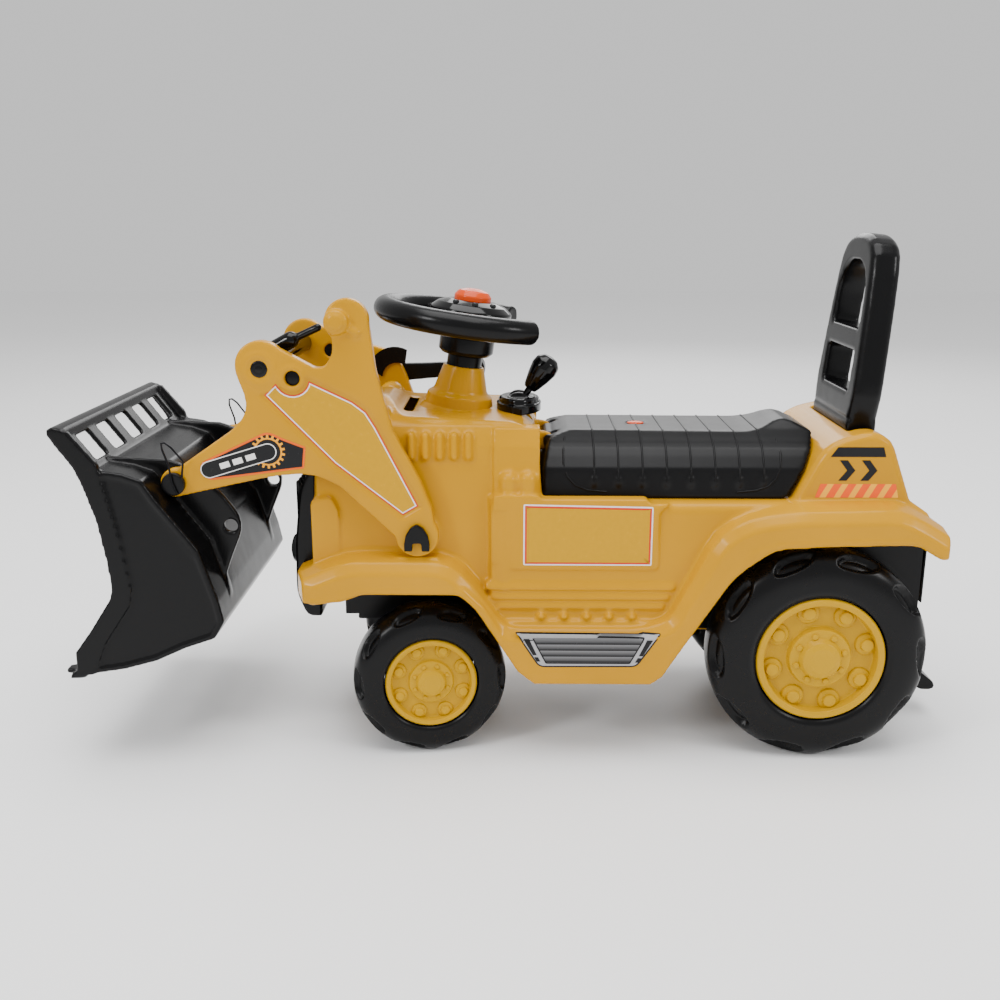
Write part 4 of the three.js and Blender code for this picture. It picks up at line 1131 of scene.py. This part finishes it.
# ------------------------------------------------------------------ wheels
@dataclass
class Wheel:
    """A blow-moulded tyre on a rim with lugs, a ring of bolts and a domed cap.

    Args:
        name: which of the four it is.
        side: 1 on the left, -1 on the right.
        x: place of the axle.
        middle: from the object's middle plane to the tyre's.
        radius: of the tyre.
        width: of the tyre.
        rim: radius of the rim.
        out: from the tyre's middle plane to the cap's face.
        turn: how far the wheel is steered.
        phase: turn of the ring of lugs.
        scale: of the rim's small features, against the rear wheel's.
        notches: scoops in each shoulder.
        scoop: depth of a scoop at scale 1.
    """

    name: str
    side: int
    x: float
    middle: float
    radius: float
    width: float
    rim: float
    out: float
    turn: float
    phase: float
    scale: float
    notches: int = 10
    scoop: float = 6.6

    def place(self) -> Matrix:
        """Lays the wheel's own Z along its axle, outwards, and moves it to its place."""
        lay = Matrix.Rotation(math.radians(-90), 4, "X")
        face = Matrix.Rotation(self.turn + (0 if self.side > 0 else math.pi), 4, "Z")
        outward = Vector((-math.sin(self.turn), math.cos(self.turn), 0)) * self.side
        base = at(self.x, 0, self.radius)
        if self.turn:
            reach = (self.middle - KINGPIN_Y) * MM
            base = at(self.x, self.side * KINGPIN_Y, self.radius) + outward * reach
        else:
            base = base + outward * self.middle * MM
        return Matrix.Translation(base) @ face @ lay

    def _section(self) -> list[Corner]:
        """Points (radius, height, share) of the section, with share 0 on the tread and 1 at a bead."""
        half, depth = self.width / 2, self.radius - self.rim
        points: list[Corner] = []
        steps = 60
        for k in range(steps + 1):
            a = math.pi * k / steps
            swell = -math.copysign(abs(math.cos(a)) ** 0.62, math.cos(a))
            rise = math.sin(a) ** 0.6
            points.append((self.rim + 2 + (depth - 2) * rise, swell * (half + 1), abs(2 * k / steps - 1)))
        return points

    def _scoop(self, angle: float, height: float, share: float) -> float:
        """Depth of the slanted scoops in the shoulders, between 0 and 1."""
        pitch = math.tau / self.notches
        hand = 1 if height > 0 else -1
        centre = (0.5 * pitch if hand < 0 else 0.0) + hand * 0.42 * pitch * (share - 0.4)
        gap = (angle - centre + pitch / 2) % pitch - pitch / 2
        away = abs(gap / (0.29 * pitch)) ** 2.6 + abs((share - 0.40) / 0.235) ** 2.6
        t = min(1.0, max(0.0, (1.25 - away) / 0.55))
        return t * t * (3 - 2 * t)

    def _tyre(self) -> bpy.types.Object:
        """The tyre with its scooped shoulders."""
        sides, place = 320, self.place()
        section = self._section()
        count = len(section)
        normals = []
        for k in range(count):
            before, after = section[max(k - 1, 0)], section[min(k + 1, count - 1)]
            line = Vector((after[0] - before[0], after[1] - before[1])).normalized()
            normals.append(Vector((line.y, -line.x)))
        bm = bmesh.new()
        rings = []
        for j in range(sides):
            a = math.tau * j / sides
            ring = []
            for (radius, height, share), normal in zip(section, normals):
                depth = self.scoop * self.scale * self._scoop(a, height, share)
                r, h = radius - normal.x * depth, height - normal.y * depth
                ring.append(bm.verts.new(place @ (Vector((r * math.cos(a), r * math.sin(a), h)) * MM)))
            rings.append(ring)
        for a, b in zip(rings, [*rings[1:], rings[0]]):
            for k in range(count):
                bm.faces.new((a[k], a[(k + 1) % count], b[(k + 1) % count], b[k]))
        bmesh.ops.recalc_face_normals(bm, faces=bm.faces)
        mesh = bpy.data.meshes.new(self.name)
        bm.to_mesh(mesh)
        bm.free()
        mesh.shade_smooth()
        return stand(f"tread_{self.name}", mesh)

    def _rim(self) -> bpy.types.Object:
        """The rim: a dish with a lip, a raised hub ring, lugs, bolts and a domed cap."""
        edge, out, k = self.rim - 0.3, self.out, self.scale
        half = self.width / 2
        ring, cap = self.rim * 0.50, self.rim * 0.29
        dish = half - 9 * k
        bore = [(0, out - 11), (5.3, out - 11), (5.3, -half + 2)]
        back = [(16, -half + 2), (18, 2), (edge - 10, 2), (edge - 5, -half + 4), (edge, -half + 4)]
        lip = [(edge + 0.8, half - 1, 1.5), (edge - 1, half + 1.5, 1.5)]
        floor = [(edge - 6.2 * k, half + 0.5, 2 * k), (edge - 7.5 * k, dish, 2.5 * k), (ring, dish, 2 * k)]
        hub = [(ring - 1.2 * k, out - 7 * k, 1.5 * k), (cap + 3 * k, out - 7 * k, 1)]
        dome = [(cap, out - 2 * k, 2.5 * k), (cap - 5 * k, out - 0.6, 3), (2.5, out - 0.5), (0, out - 0.5)]
        profile = rounded([*bore, *back, *lip, *floor, *hub, *dome], 4)
        clay = Clay().lathe([(max(r, 0.0), h) for r, h in profile], Matrix.Identity(4), 96)
        seat = [(0, dish - 2), (10.2 * k, dish - 2), (10.0 * k, dish + 2.4 * k, 2)]
        stud = [(6.2 * k, dish + 3.0 * k, 1.2), (5.6 * k, dish + 6 * k, 1.2), (0, dish + 6.2 * k)]
        self._ring_of(clay, [*seat, *stud], self.rim * 0.76)
        bolt = [(0, out - 8 * k), (3 * k, out - 8 * k), (2.8 * k, out - 5.2 * k, 1), (0, out - 5 * k)]
        self._ring_of(clay, bolt, self.rim * 0.385)
        mesh = clay.mesh(self.name)
        mesh.transform(self.place())
        made = stand(f"dish_{self.name}", mesh)
        made.data.shade_smooth()
        made.data.set_sharp_from_angle(angle=math.radians(38))
        return made

    def _ring_of(self, clay: Clay, profile: Sequence[Corner], radius: float) -> None:
        """Adds a ring of turned nubs to the rim."""
        points = [(max(r, 0.0), h) for r, h in rounded(profile, 3)]
        nub = Clay().lathe(points, Matrix.Identity(4), 24).mesh("nub")
        spots = RING.mesh(nub, LEMON, Matrix.Identity(4), Count=8, Radius=radius * MM, Phase=self.phase)
        clay.bm.from_mesh(spots)

    def build(self) -> None:
        """Builds the tyre and the rim."""
        body = f"wheel_{self.name}"
        dress(self._tyre(), TYRE, body, [f"tyre_{self.name}"])
        dress(self._rim(), LEMON, body, [f"rim_{self.name}", f"hub_cap_{self.name}"])


# ------------------------------------------------------------------ steering
@dataclass
class Column:
    """The leaning steering column and what is turned about it."""

    x: float = 316.0
    z: float = 357.0
    tilt: float = math.radians(8)
    rest: float = STEERED

    def place(self, turn: float) -> Matrix:
        """Lays a shape's own Z along the column, turned about it."""
        lean = Matrix.Rotation(-self.tilt, 4, "Y")
        return Matrix.Translation(at(self.x, 0, self.z)) @ lean @ Matrix.Rotation(turn, 4, "Z")


@dataclass
class Steering:
    """Column tube, collar, wheel, hub cover, horn and sound buttons."""

    column: Column = field(default_factory=Column)
    height: float = 29.0
    radius: float = 77.0
    tube: float = 11.4
    opening: float = math.radians(104)

    def build(self) -> None:
        """Builds every piece of the steering."""
        place = self.column.place(self.column.rest)
        sleeve = [(4.5, -43.8), (16, -43.8, 1), (16, -4.4, 1), (4.5, -4.4)]
        tube = turned("column_tube", rounded(sleeve, 3), place)
        dress(tube, BLACK, "steering", ["steering_tube"])
        ring = [(4.5, -4), (21.5, -4, 2), (25.2, -0.5, 2), (25.2, 12, 2), (22, 15.6, 2), (4.5, 15.6)]
        collar = turned("column_collar", rounded(ring, 4), place)
        dress(collar, BLACK, "steering", ["steering_collar"])
        self._wheel(place)
        self._hub(place)
        repaint(["steering_shaft"], STEEL)
        repaint(["sound_module"], GREY)

    def _wheel(self, place: Matrix) -> None:
        """The open rim with its spokes and cup."""
        half = math.pi - self.opening / 2
        steps = 72
        path = []
        for k in range(steps + 1):
            a = -half + 2 * half * k / steps
            spot = Vector((self.radius * math.cos(a), self.radius * math.sin(a), self.height)) * MM
            path.append(place @ spot)
        turns = [math.tau * k / 28 for k in range(28)]
        section = [(self.tube * math.cos(a), self.tube * math.sin(a) * 0.95) for a in turns]
        up = place.to_3x3() @ Vector((0, 0, 1))
        rim = Clay().sweep(path, section, up)
        wheel = Mould(1.2, 5, 110_000).cast("wheel_rim", ["steering_wheel"], rim)
        dress(wheel, BLACK, "steering", ["steering_wheel"])
        brim = self.height + 3.8
        cup = rounded([(0, 16), (30, 16, 3), (37.3, self.height - 6, 3), (37.3, brim), (0, brim)], 3)
        skin = turned("wheel_cup", [*cup[:-1], (34, brim), (34, 20), (0, 19)], place)
        dress(skin, BLACK, "steering")

    def _hub(self, place: Matrix) -> None:
        """Hub cover, horn and sound buttons."""
        top = self.height + 4.3
        under = [(17.4, top + 2), (33, top), (37, top, 1)]
        over = [(37.2, top + 4, 3), (31, top + 9, 5), (21.5, top + 12.2, 2), (17.4, top + 12.4, 1)]
        cover = turned("hub_dome", rounded([*under, *over], 5), place)
        dress(cover, GLOSS, "steering", ["hub_cover"])
        flange = [(0, top - 2), (19.5, top - 2), (19.5, top + 1, 1), (17, top + 1), (17, top + 12.6)]
        dome = [(17, top + 16, 3), (13.5, top + 20.5, 5), (6, top + 22.6, 6), (0, top + 23)]
        horn = turned("horn_dome", rounded([*flange, *dome], 5), place)
        dress(horn, ORANGE, "horn", ["horn_button"])
        for k in range(3):
            a = 0.7 * (k - 1) + math.pi / 2
            spot = place @ Matrix.Translation(Vector((26 * math.cos(a), 26 * math.sin(a), 0)) * MM)
            stem = [(0, top + 1), (2.9, top + 1), (2.9, top + 11.4, 0.6)]
            profile = rounded([*stem, (2.1, top + 12.5, 0.8), (0, top + 12.7)], 3)
            button = turned(f"sound_key_{k + 1}", [(max(r, 0.0), h) for r, h in profile], spot, 24)
            dress(button, GREY, f"sound_{k + 1}", [f"sound_button_{k + 1}"])


# ------------------------------------------------------------------ seat, back and lever
@dataclass
class Seat:
    """The ribbed black lid, its badge and the back frame."""

    ribs: int = 8
    first: float = 201.0
    step: float = 21.2

    def build(self) -> None:
        """Casts the lid and the back and lays the ribs."""
        lid = Mould(1.6, 7, 120_000).cast("lid", ["seat_lid"], self._drops())
        dress(lid, SATIN, "seat", ["seat_lid"])
        tree = surface_of(lid)
        ribs = stand("lid_ribs", BARS.mesh([*self._paths(tree), *self._seams(tree)], 0.95, SATIN))
        ribs.data.shade_smooth()
        dress(ribs, SATIN, "seat")
        badge = Clay()
        low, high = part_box("seat_badge")
        middle = (low + high) / 2
        badge.ball(Vector((middle.x, middle.y, high.z - 0.0015)), (8, 6, 1.6))
        button = stand("lid_badge", badge.mesh("lid_badge"))
        button.data.shade_smooth()
        dress(button, ORANGE, "seat", ["seat_badge"])
        back = Mould(1.3, 24, 90_000).cast("back_frame", ["backrest"])
        dress(back, BLACK, "body", ["backrest"])

    def _drops(self) -> Clay:
        """Round bumps at the lower end of each rib."""
        clay = Clay()
        for _, s in SIDES:
            for k in range(self.ribs):
                clay.ball(at(self.first - k * self.step, s * 77.0, 251), (2.6, 2.6, 6))
        return clay

    def _seams(self, tree: BVHTree) -> list[list[Vector]]:
        """Curved seams on both flanks at the front and the rear of the ribs."""
        front = [(226, 285), (228, 276), (228, 266), (225, 256), (218, 248), (207, 243.5), (190, 242)]
        rear = [(38, 284), (37, 274), (38, 264), (42, 254), (49, 247), (60, 243.5), (76, 242)]
        paths = []
        for _, s in SIDES:
            for line in (front, rear):
                hits = [tree.ray_cast(at(x, s * OUTSIDE, z), Vector((0, -s, 0)))[0] for x, z in line]
                paths.append([hit for hit in hits if hit is not None])
        return paths

    def _paths(self, tree: BVHTree) -> list[list[Vector]]:
        """Paths over the lid from side to side, found on its surface."""
        paths = []
        for k in range(self.ribs):
            x = self.first - k * self.step
            centre = at(x, 0, 236)
            path = []
            for i in range(49):
                a = math.radians(11 + (180 - 22) * i / 48)
                outward = Vector((0, math.cos(a), math.sin(a)))
                hit = tree.ray_cast(centre + outward * 0.2, -outward)[0]
                if hit is not None:
                    path.append(hit - outward * 0.0002)
            paths.append(path)
        return paths


@dataclass
class GearShift:
    """Glossy oval base, lever and knob."""

    x: float = 267.0
    z: float = 307.0
    lean: float = math.radians(-35)

    def _dish(self) -> Clay:
        """Thick oval skirt of the base with two raised beads round the lever."""
        clay = Clay()
        turns = [math.tau * k / 48 for k in range(48)]
        for grow, low, high in ((1.2, 302.0, 310.0), (-1.5, 310.0, 313.5)):
            oval = [((19.5 + grow) * math.cos(a), (33 + grow) * math.sin(a)) for a in turns]
            clay.slab([(self.x + u, v) for u, v in oval], low, high, "Z")
            if grow < 0:
                ring = [at(self.x + u * 0.9, v * 0.93, high + 0.8) for u, v in oval[:25]]
                clay.sweep(ring, arc((0, 0), 1.6, 0, 324, 9), Vector((0, 0, 1)))
                inner = [((13.5 + grow) * math.cos(a), (26 + grow) * math.sin(a)) for a in turns[2:23]]
                bead = [at(self.x - 2 + u, v, high + 0.8) for u, v in inner]
                clay.sweep(bead, arc((0, 0), 1.3, 0, 324, 9), Vector((0, 0, 1)))
        return clay

    def build(self) -> None:
        """Builds the base and the lever."""
        base = Mould(0.8, 3, 60_000).cast("gear_plate", ["gear_base"], self._dish())
        dress(base, GLOSS, "body", ["gear_base"])
        place = Matrix.Translation(at(self.x, 0, self.z)) @ Matrix.Rotation(self.lean, 4, "Y")
        ball = [(0, -7), (7.6, -2, 3), (7.6, 2, 3), (4.4, 6.5, 2)]
        stick = turned("gear_stick", rounded([*ball, (3.2, 10), (3.2, 30), (0, 30)], 4), place, 32)
        dress(stick, GLOSS, "gear", ["gear_lever"])
        neck = [(0, 17), (5.6, 17, 1), (7.2, 20, 3), (10.6, 31, 8)]
        head = [(12.6, 40, 5), (11.8, 47, 5), (7, 51.8, 5), (0, 53)]
        knob = turned("gear_grip", rounded([*neck, *head], 5), place, 48)
        dress(knob, GLOSS, "gear", ["gear_knob"])


# ------------------------------------------------------------------ boom and bucket
@dataclass
class Boom:
    """The two plates with their stickers, the cross rod and the lift handle."""

    inner: float = 92.0
    outer: float = 104.0
    elbow: Point = (484.0, 353.0)  # middle of the bolt in the front lobe
    hole: Point = (457.0, 345.0)  # middle of the plugged hole behind it

    def _panel(self) -> list[Point]:
        """Outline of the large plain sticker."""
        notch = arc(self.hole, 14, -17, -171, 10)
        rear = [(407, 325.5), (396, 317), (388, 304), (353.5, 235)]
        return [(481, 331), *notch, *rear, (367, 227), (424, 272)]

    def _forearm(self) -> list[Point]:
        """Outline of the sticker on the forearm."""
        low = [(450, 268.5, 1.5), (533, 257.5, 8), (541, 272, 8)]
        return rounded([*low, (498, 292, 6), (480, 300.5, 12), (466, 294, 6), (448, 287, 1.5)], 4)

    def _across(self, spot: Point, s: int) -> Matrix:
        """Lays a turned shape's own Z outwards at a spot on a plate's inner face."""
        base = Matrix.Translation(at(spot[0], s * self.inner, spot[1]))
        return base @ Matrix.Rotation(math.radians(-90 * s), 4, "X")

    def _lobes(self, s: int) -> Clay:
        """Round rims and bosses that are added to a plate."""
        clay = Clay()
        for x, z, radius in ((355, 208, 18.6), (483, 355, 21.6), (562, 255, 12.4)):
            clay.rod(at(x, s * self.inner, z), at(x, s * (self.outer + 0.2), z), radius, 64)
        bore = rounded([(7.2, 8), (11.5, 8), (11.5, 13.2, 1.6), (7.2, 13.2, 1.4)], 3)
        wide = rounded([(9.2, 8), (15.5, 8), (15.5, 13.2, 2.2), (9.2, 13.2, 1.4)], 3)
        clay.lathe(bore, self._across(self.hole, s), 48)
        clay.lathe(wide, self._across(self.elbow, s), 48)
        if s > 0:
            clay.rod(at(410, self.inner, 393), at(410, self.outer + 0.2, 393), 18.4, 64)
            clay.rod(at(418, 98, 392), at(418, 111, 392), 10.4, 48)
            clay.rod(at(418, 98, 392), at(418, 112.8, 392), 6.4, 48)
            clay.rod(at(402, 103.2, 383), at(418, 104.4, 392), 4.2, 20, True)
        return clay

    def _fittings(self, word: str, s: int) -> None:
        """Domed bolt head, black plug and, on the right, the black band inside the shoulder."""
        head = rounded([(0, 7.6), (7.2, 7.6), (7.2, 9.4, 1), (5.4, 12.2, 2), (2.5, 13.2, 1), (0, 13.4)], 5)
        bolt = turned(f"bolt_{word}", head, self._across(self.elbow, s), 48)
        dress(bolt, GLOSS, "boom")
        plug = rounded([(0, 2), (6.6, 2), (6.6, 8.6, 1), (0, 9.6)], 4)
        dress(turned(f"plug_{word}", plug, self._across(self.hole, s), 40), BLACK, "boom")
        if s < 0:
            band = [*arc((392, 322), 27, 12, 118, 10), *reversed(arc((390, 318), 15, 4, 124, 10))]
            clay = Clay().slab(band, -self.inner + 0.3, -self.inner + 2.6)
            dress(stand("shoulder_band", clay.mesh("band")), BLACK, "boom")

    def _clip(self) -> None:
        """Black lever on the spacer between the plates."""
        clay = Clay().rod(at(484, 52, 356), at(484, 84, 356), 11.5, 32, True)
        clay.rod(at(484, 74, 362), at(462, 76, 374), 7.5, 24, True)
        clay.rod(at(466, 76, 372), at(438, 78, 385), 3.4, 20, True)
        dress(Mould(1.0, 5, 30_000).cast("clip", [], clay), GLOSS, "boom")

    def build(self) -> None:
        """Casts the plates and dresses what is on them."""
        self._clip()
        for word, s in SIDES:
            recess = Clay().slab(inset(self._panel(), -3.0), s * (self.outer - 1.7), s * (self.outer + 6))
            mould = Mould(1.25, 9, 120_000)
            plate = mould.cast(f"plate_{word}", [f"boom_plate_{word}"], self._lobes(s), recess)
            dress(plate, YELLOW, "boom", [f"boom_plate_{word}"])
            self._stickers(surface_of(plate), word, s)
            self._fittings(word, s)
            pin = Mould(0.8, 4, 20_000).cast(f"pivot_{word}", [f"boom_pin_{word}"])
            dress(pin, BLACK, "body", [f"boom_pin_{word}"])
        for node, finish, slot, grid in (
            ("spacer_tube", GLOSS, "black_shell", 1.2),
            ("lift_handle", BLACK, "black_shell", 1.2),
            ("cross_rod", GLOSS, "steel", 0.9),
        ):
            made = Mould(grid, 5, 40_000).cast(f"{node}_cast", [node])
            dress(made, finish, "boom", [node])

    def _stickers(self, tree: BVHTree, word: str, s: int) -> None:
        """The large plain sticker and the forearm's badge."""
        sheet = Sticker(tree, s)
        lines = ((0, RED, "line"), (1.1, WHITE, "edge"), (2.2, FIELD, "field"))
        for layer, (depth, finish, label) in enumerate(lines):
            made = sheet.lay(f"boom_sticker_{label}_{word}", inset(self._panel(), depth), layer)
            dress(made, finish, "boom")
        shape = self._forearm()
        gear_at, tip_at = (480.0, 283.0), (531.0, 267.3)
        layers: list[tuple[str, list[Point], Finish]] = [
            ("flame", shape, FLAME),
            ("ink", inset(shape, 1.8), INK),
            ("gear", self._gear(gear_at, 14.6, 12.0, 18), AMBER),
            ("hub", arc(gear_at, 10.6, 0, 342, 19), INK),
            ("capsule", self._capsule(tip_at, gear_at, 7.4), WHITE),
            ("core", self._capsule(tip_at, gear_at, 6.5), INK),
        ]
        for layer, (label, outline, finish) in enumerate(layers):
            made = sheet.lay(f"forearm_{label}_{word}", outline, layer)
            dress(made, finish, "boom")
        line = Vector(gear_at) - Vector(tip_at)
        for k in range(3):
            start = Vector(tip_at) + line * (0.19 + 0.22 * k)
            end = Vector(tip_at) + line * (0.35 + 0.22 * k)
            across = Vector((-line.y, line.x)).normalized() * 2.5
            bar = [tuple(start - across), tuple(end - across), tuple(end + across), tuple(start + across)]
            dress(sheet.lay(f"forearm_bar_{k + 1}_{word}", bar, 6), WHITE, "boom")

    @staticmethod
    def _capsule(a: Point, b: Point, radius: float) -> list[Point]:
        """Outline of a bar with round ends."""
        lean = math.degrees(math.atan2(b[1] - a[1], b[0] - a[0]))
        return [*arc(b, radius, lean - 90, lean + 90, 12), *arc(a, radius, lean + 90, lean + 270, 12)]

    @staticmethod
    def _gear(centre: Point, high: float, low: float, teeth: int) -> list[Point]:
        """Outline of a gear wheel."""
        points = []
        for k in range(teeth):
            for share, radius in ((0.0, low), (0.25, low), (0.32, high), (0.68, high), (0.75, low)):
                a = math.tau * (k + share) / teeth
                points.append((centre[0] + radius * math.cos(a), centre[1] + radius * math.sin(a)))
        return points


@dataclass
class Bucket:
    """The black bucket, its pins and their wire loops."""

    half: float = 128.0

    def build(self) -> None:
        """Casts the bucket and the pins."""
        bucket = Mould(1.6, 4, 190_000).cast("scoop", ["bucket"], self._ribs())
        dress(bucket, BLACK, "bucket", ["bucket"])
        for word, s in SIDES:
            pin = Mould(0.8, 4, 20_000).cast(f"scoop_pin_{word}", [f"bucket_pin_{word}"])
            dress(pin, SATIN, "bucket", [f"bucket_pin_{word}"])
            loop = BARS.mesh([self._loop(s)], 0.9, WIRE)
            loop.shade_smooth()
            dress(stand(f"spring_{word}", loop), WIRE, "bucket", [f"pin_loop_{word}"])

    @staticmethod
    def _loop(s: int) -> list[Vector]:
        """Path of the spring wire over a pin."""
        y = 111.4
        rise = [(553, y, 262), (551, y, 276), (560, y + 1, 288), (565, y + 1, 292)]
        fall = [(568, y + 1, 291.5), (568, y, 286), (563.5, y, 272), (562, y, 258), (558, y, 247)]
        return [at(x, s * across, z) for x, across, z in (*rise, *fall)]

    def _ribs(self) -> Clay:
        """Raised line on the outside of each side panel."""
        clay = Clay()
        for _, s in SIDES:
            clay.rod(at(586, s * (self.half - 6), 252), at(545, s * (self.half - 5), 196), 2.4, 14, True)
        return clay


# ------------------------------------------------------------------ studio
@dataclass
class Studio:
    """Floor, lights and camera."""

    eye: tuple[float, float, float] = (271.5, 1000.0, 477.4)
    yaw: float = 0.0131
    pitch: float = math.radians(14.77)
    lens: float = 38.96

    def build(self) -> None:
        """Sets up the studio."""
        self._floor()
        self._lights()
        self._camera()

    def _floor(self) -> None:
        """A wide, flat, pale floor."""
        mesh = bpy.data.meshes.new("floor")
        bm = bmesh.new()
        bmesh.ops.create_grid(bm, x_segments=2, y_segments=2, size=6)
        bm.to_mesh(mesh)
        bm.free()
        floor = stand("floor", mesh)
        coat = Coat("pale_floor")
        colour = coat.blend(coat.noise(3, 2), (0.93, 0.93, 0.93), (0.95, 0.95, 0.95))
        mesh.materials.append(coat.finish({"Base Color": colour}, {"Roughness": 0.6}))

    def _light(self, name: str, place: Vector, size: float, power: float, aim: Vector) -> None:
        """Adds one soft light.

        Args:
            name: the light's name.
            place: where it stands, in metres.
            size: length of its sides, in metres.
            power: in watts.
            aim: what it points at.
        """
        data = bpy.data.lights.new(name, "AREA")
        data.shape, data.size, data.energy = "SQUARE", size, power
        lamp = bpy.data.objects.new(name, data)
        bpy.context.scene.collection.objects.link(lamp)
        lamp.location = place
        lamp.rotation_mode = "QUATERNION"
        lamp.rotation_quaternion = (aim - place).to_track_quat("-Z", "Y")

    def _lights(self) -> None:
        """Large soft lights and a bright room."""
        aim = Vector((0, 0, 0.2))
        self._light("top", Vector((0.1, 0.3, 2.6)), 2.2, 90, aim)
        self._light("front_left", Vector((1.7, 1.5, 1.5)), 0.5, 22, aim)
        self._light("rear_left", Vector((-1.9, 1.1, 1.3)), 0.5, 14, aim)
        self._light("behind", Vector((-0.3, -2.4, 1.6)), 1.4, 22, aim)
        world = bpy.data.worlds.new("room")
        world.use_nodes = True
        world.node_tree.nodes["Background"].inputs["Color"].default_value = (1, 1, 1, 1)
        world.node_tree.nodes["Background"].inputs["Strength"].default_value = 0.8
        bpy.context.scene.world = world

    def _camera(self) -> None:
        """The camera at the left side, above the object and looking slightly down."""
        data = bpy.data.cameras.new("camera")
        data.lens, data.sensor_width = self.lens, 36
        data.clip_start, data.clip_end = 0.05, 50
        camera = bpy.data.objects.new("camera", data)
        bpy.context.scene.collection.objects.link(camera)
        camera.location = at(*self.eye)
        level = math.sqrt(1 - self.yaw**2)
        flat = math.cos(self.pitch)
        look = Vector((self.yaw * flat, -level * flat, -math.sin(self.pitch)))
        camera.rotation_mode = "QUATERNION"
        camera.rotation_quaternion = look.to_track_quat("-Z", "Y")
        bpy.context.scene.camera = camera


def wheels() -> list[Wheel]:
    """The four wheels."""
    made = []
    for word, s in SIDES:
        made.append(Wheel(f"rear_{word}", s, 0, 84, 97.5, 50, 56.5, 30, 0.0, math.radians(16), 1.0))
        made.append(Wheel(f"front_{word}", s, 353, 80, 69.5, 44, 41, 24, STEERED, math.radians(24), 0.72))
    return made


def main() -> None:
    """Builds the studio and every sub-assembly."""
    logging.basicConfig(level=logging.INFO, format="%(name)s: %(message)s")
    Studio().build()
    builders = [Body(), Nose(), Underside(), *wheels(), Steering(), Seat(), GearShift(), Boom(), Bucket()]
    for builder in builders:
        builder.build()


if __name__ == "__main__":
    main()
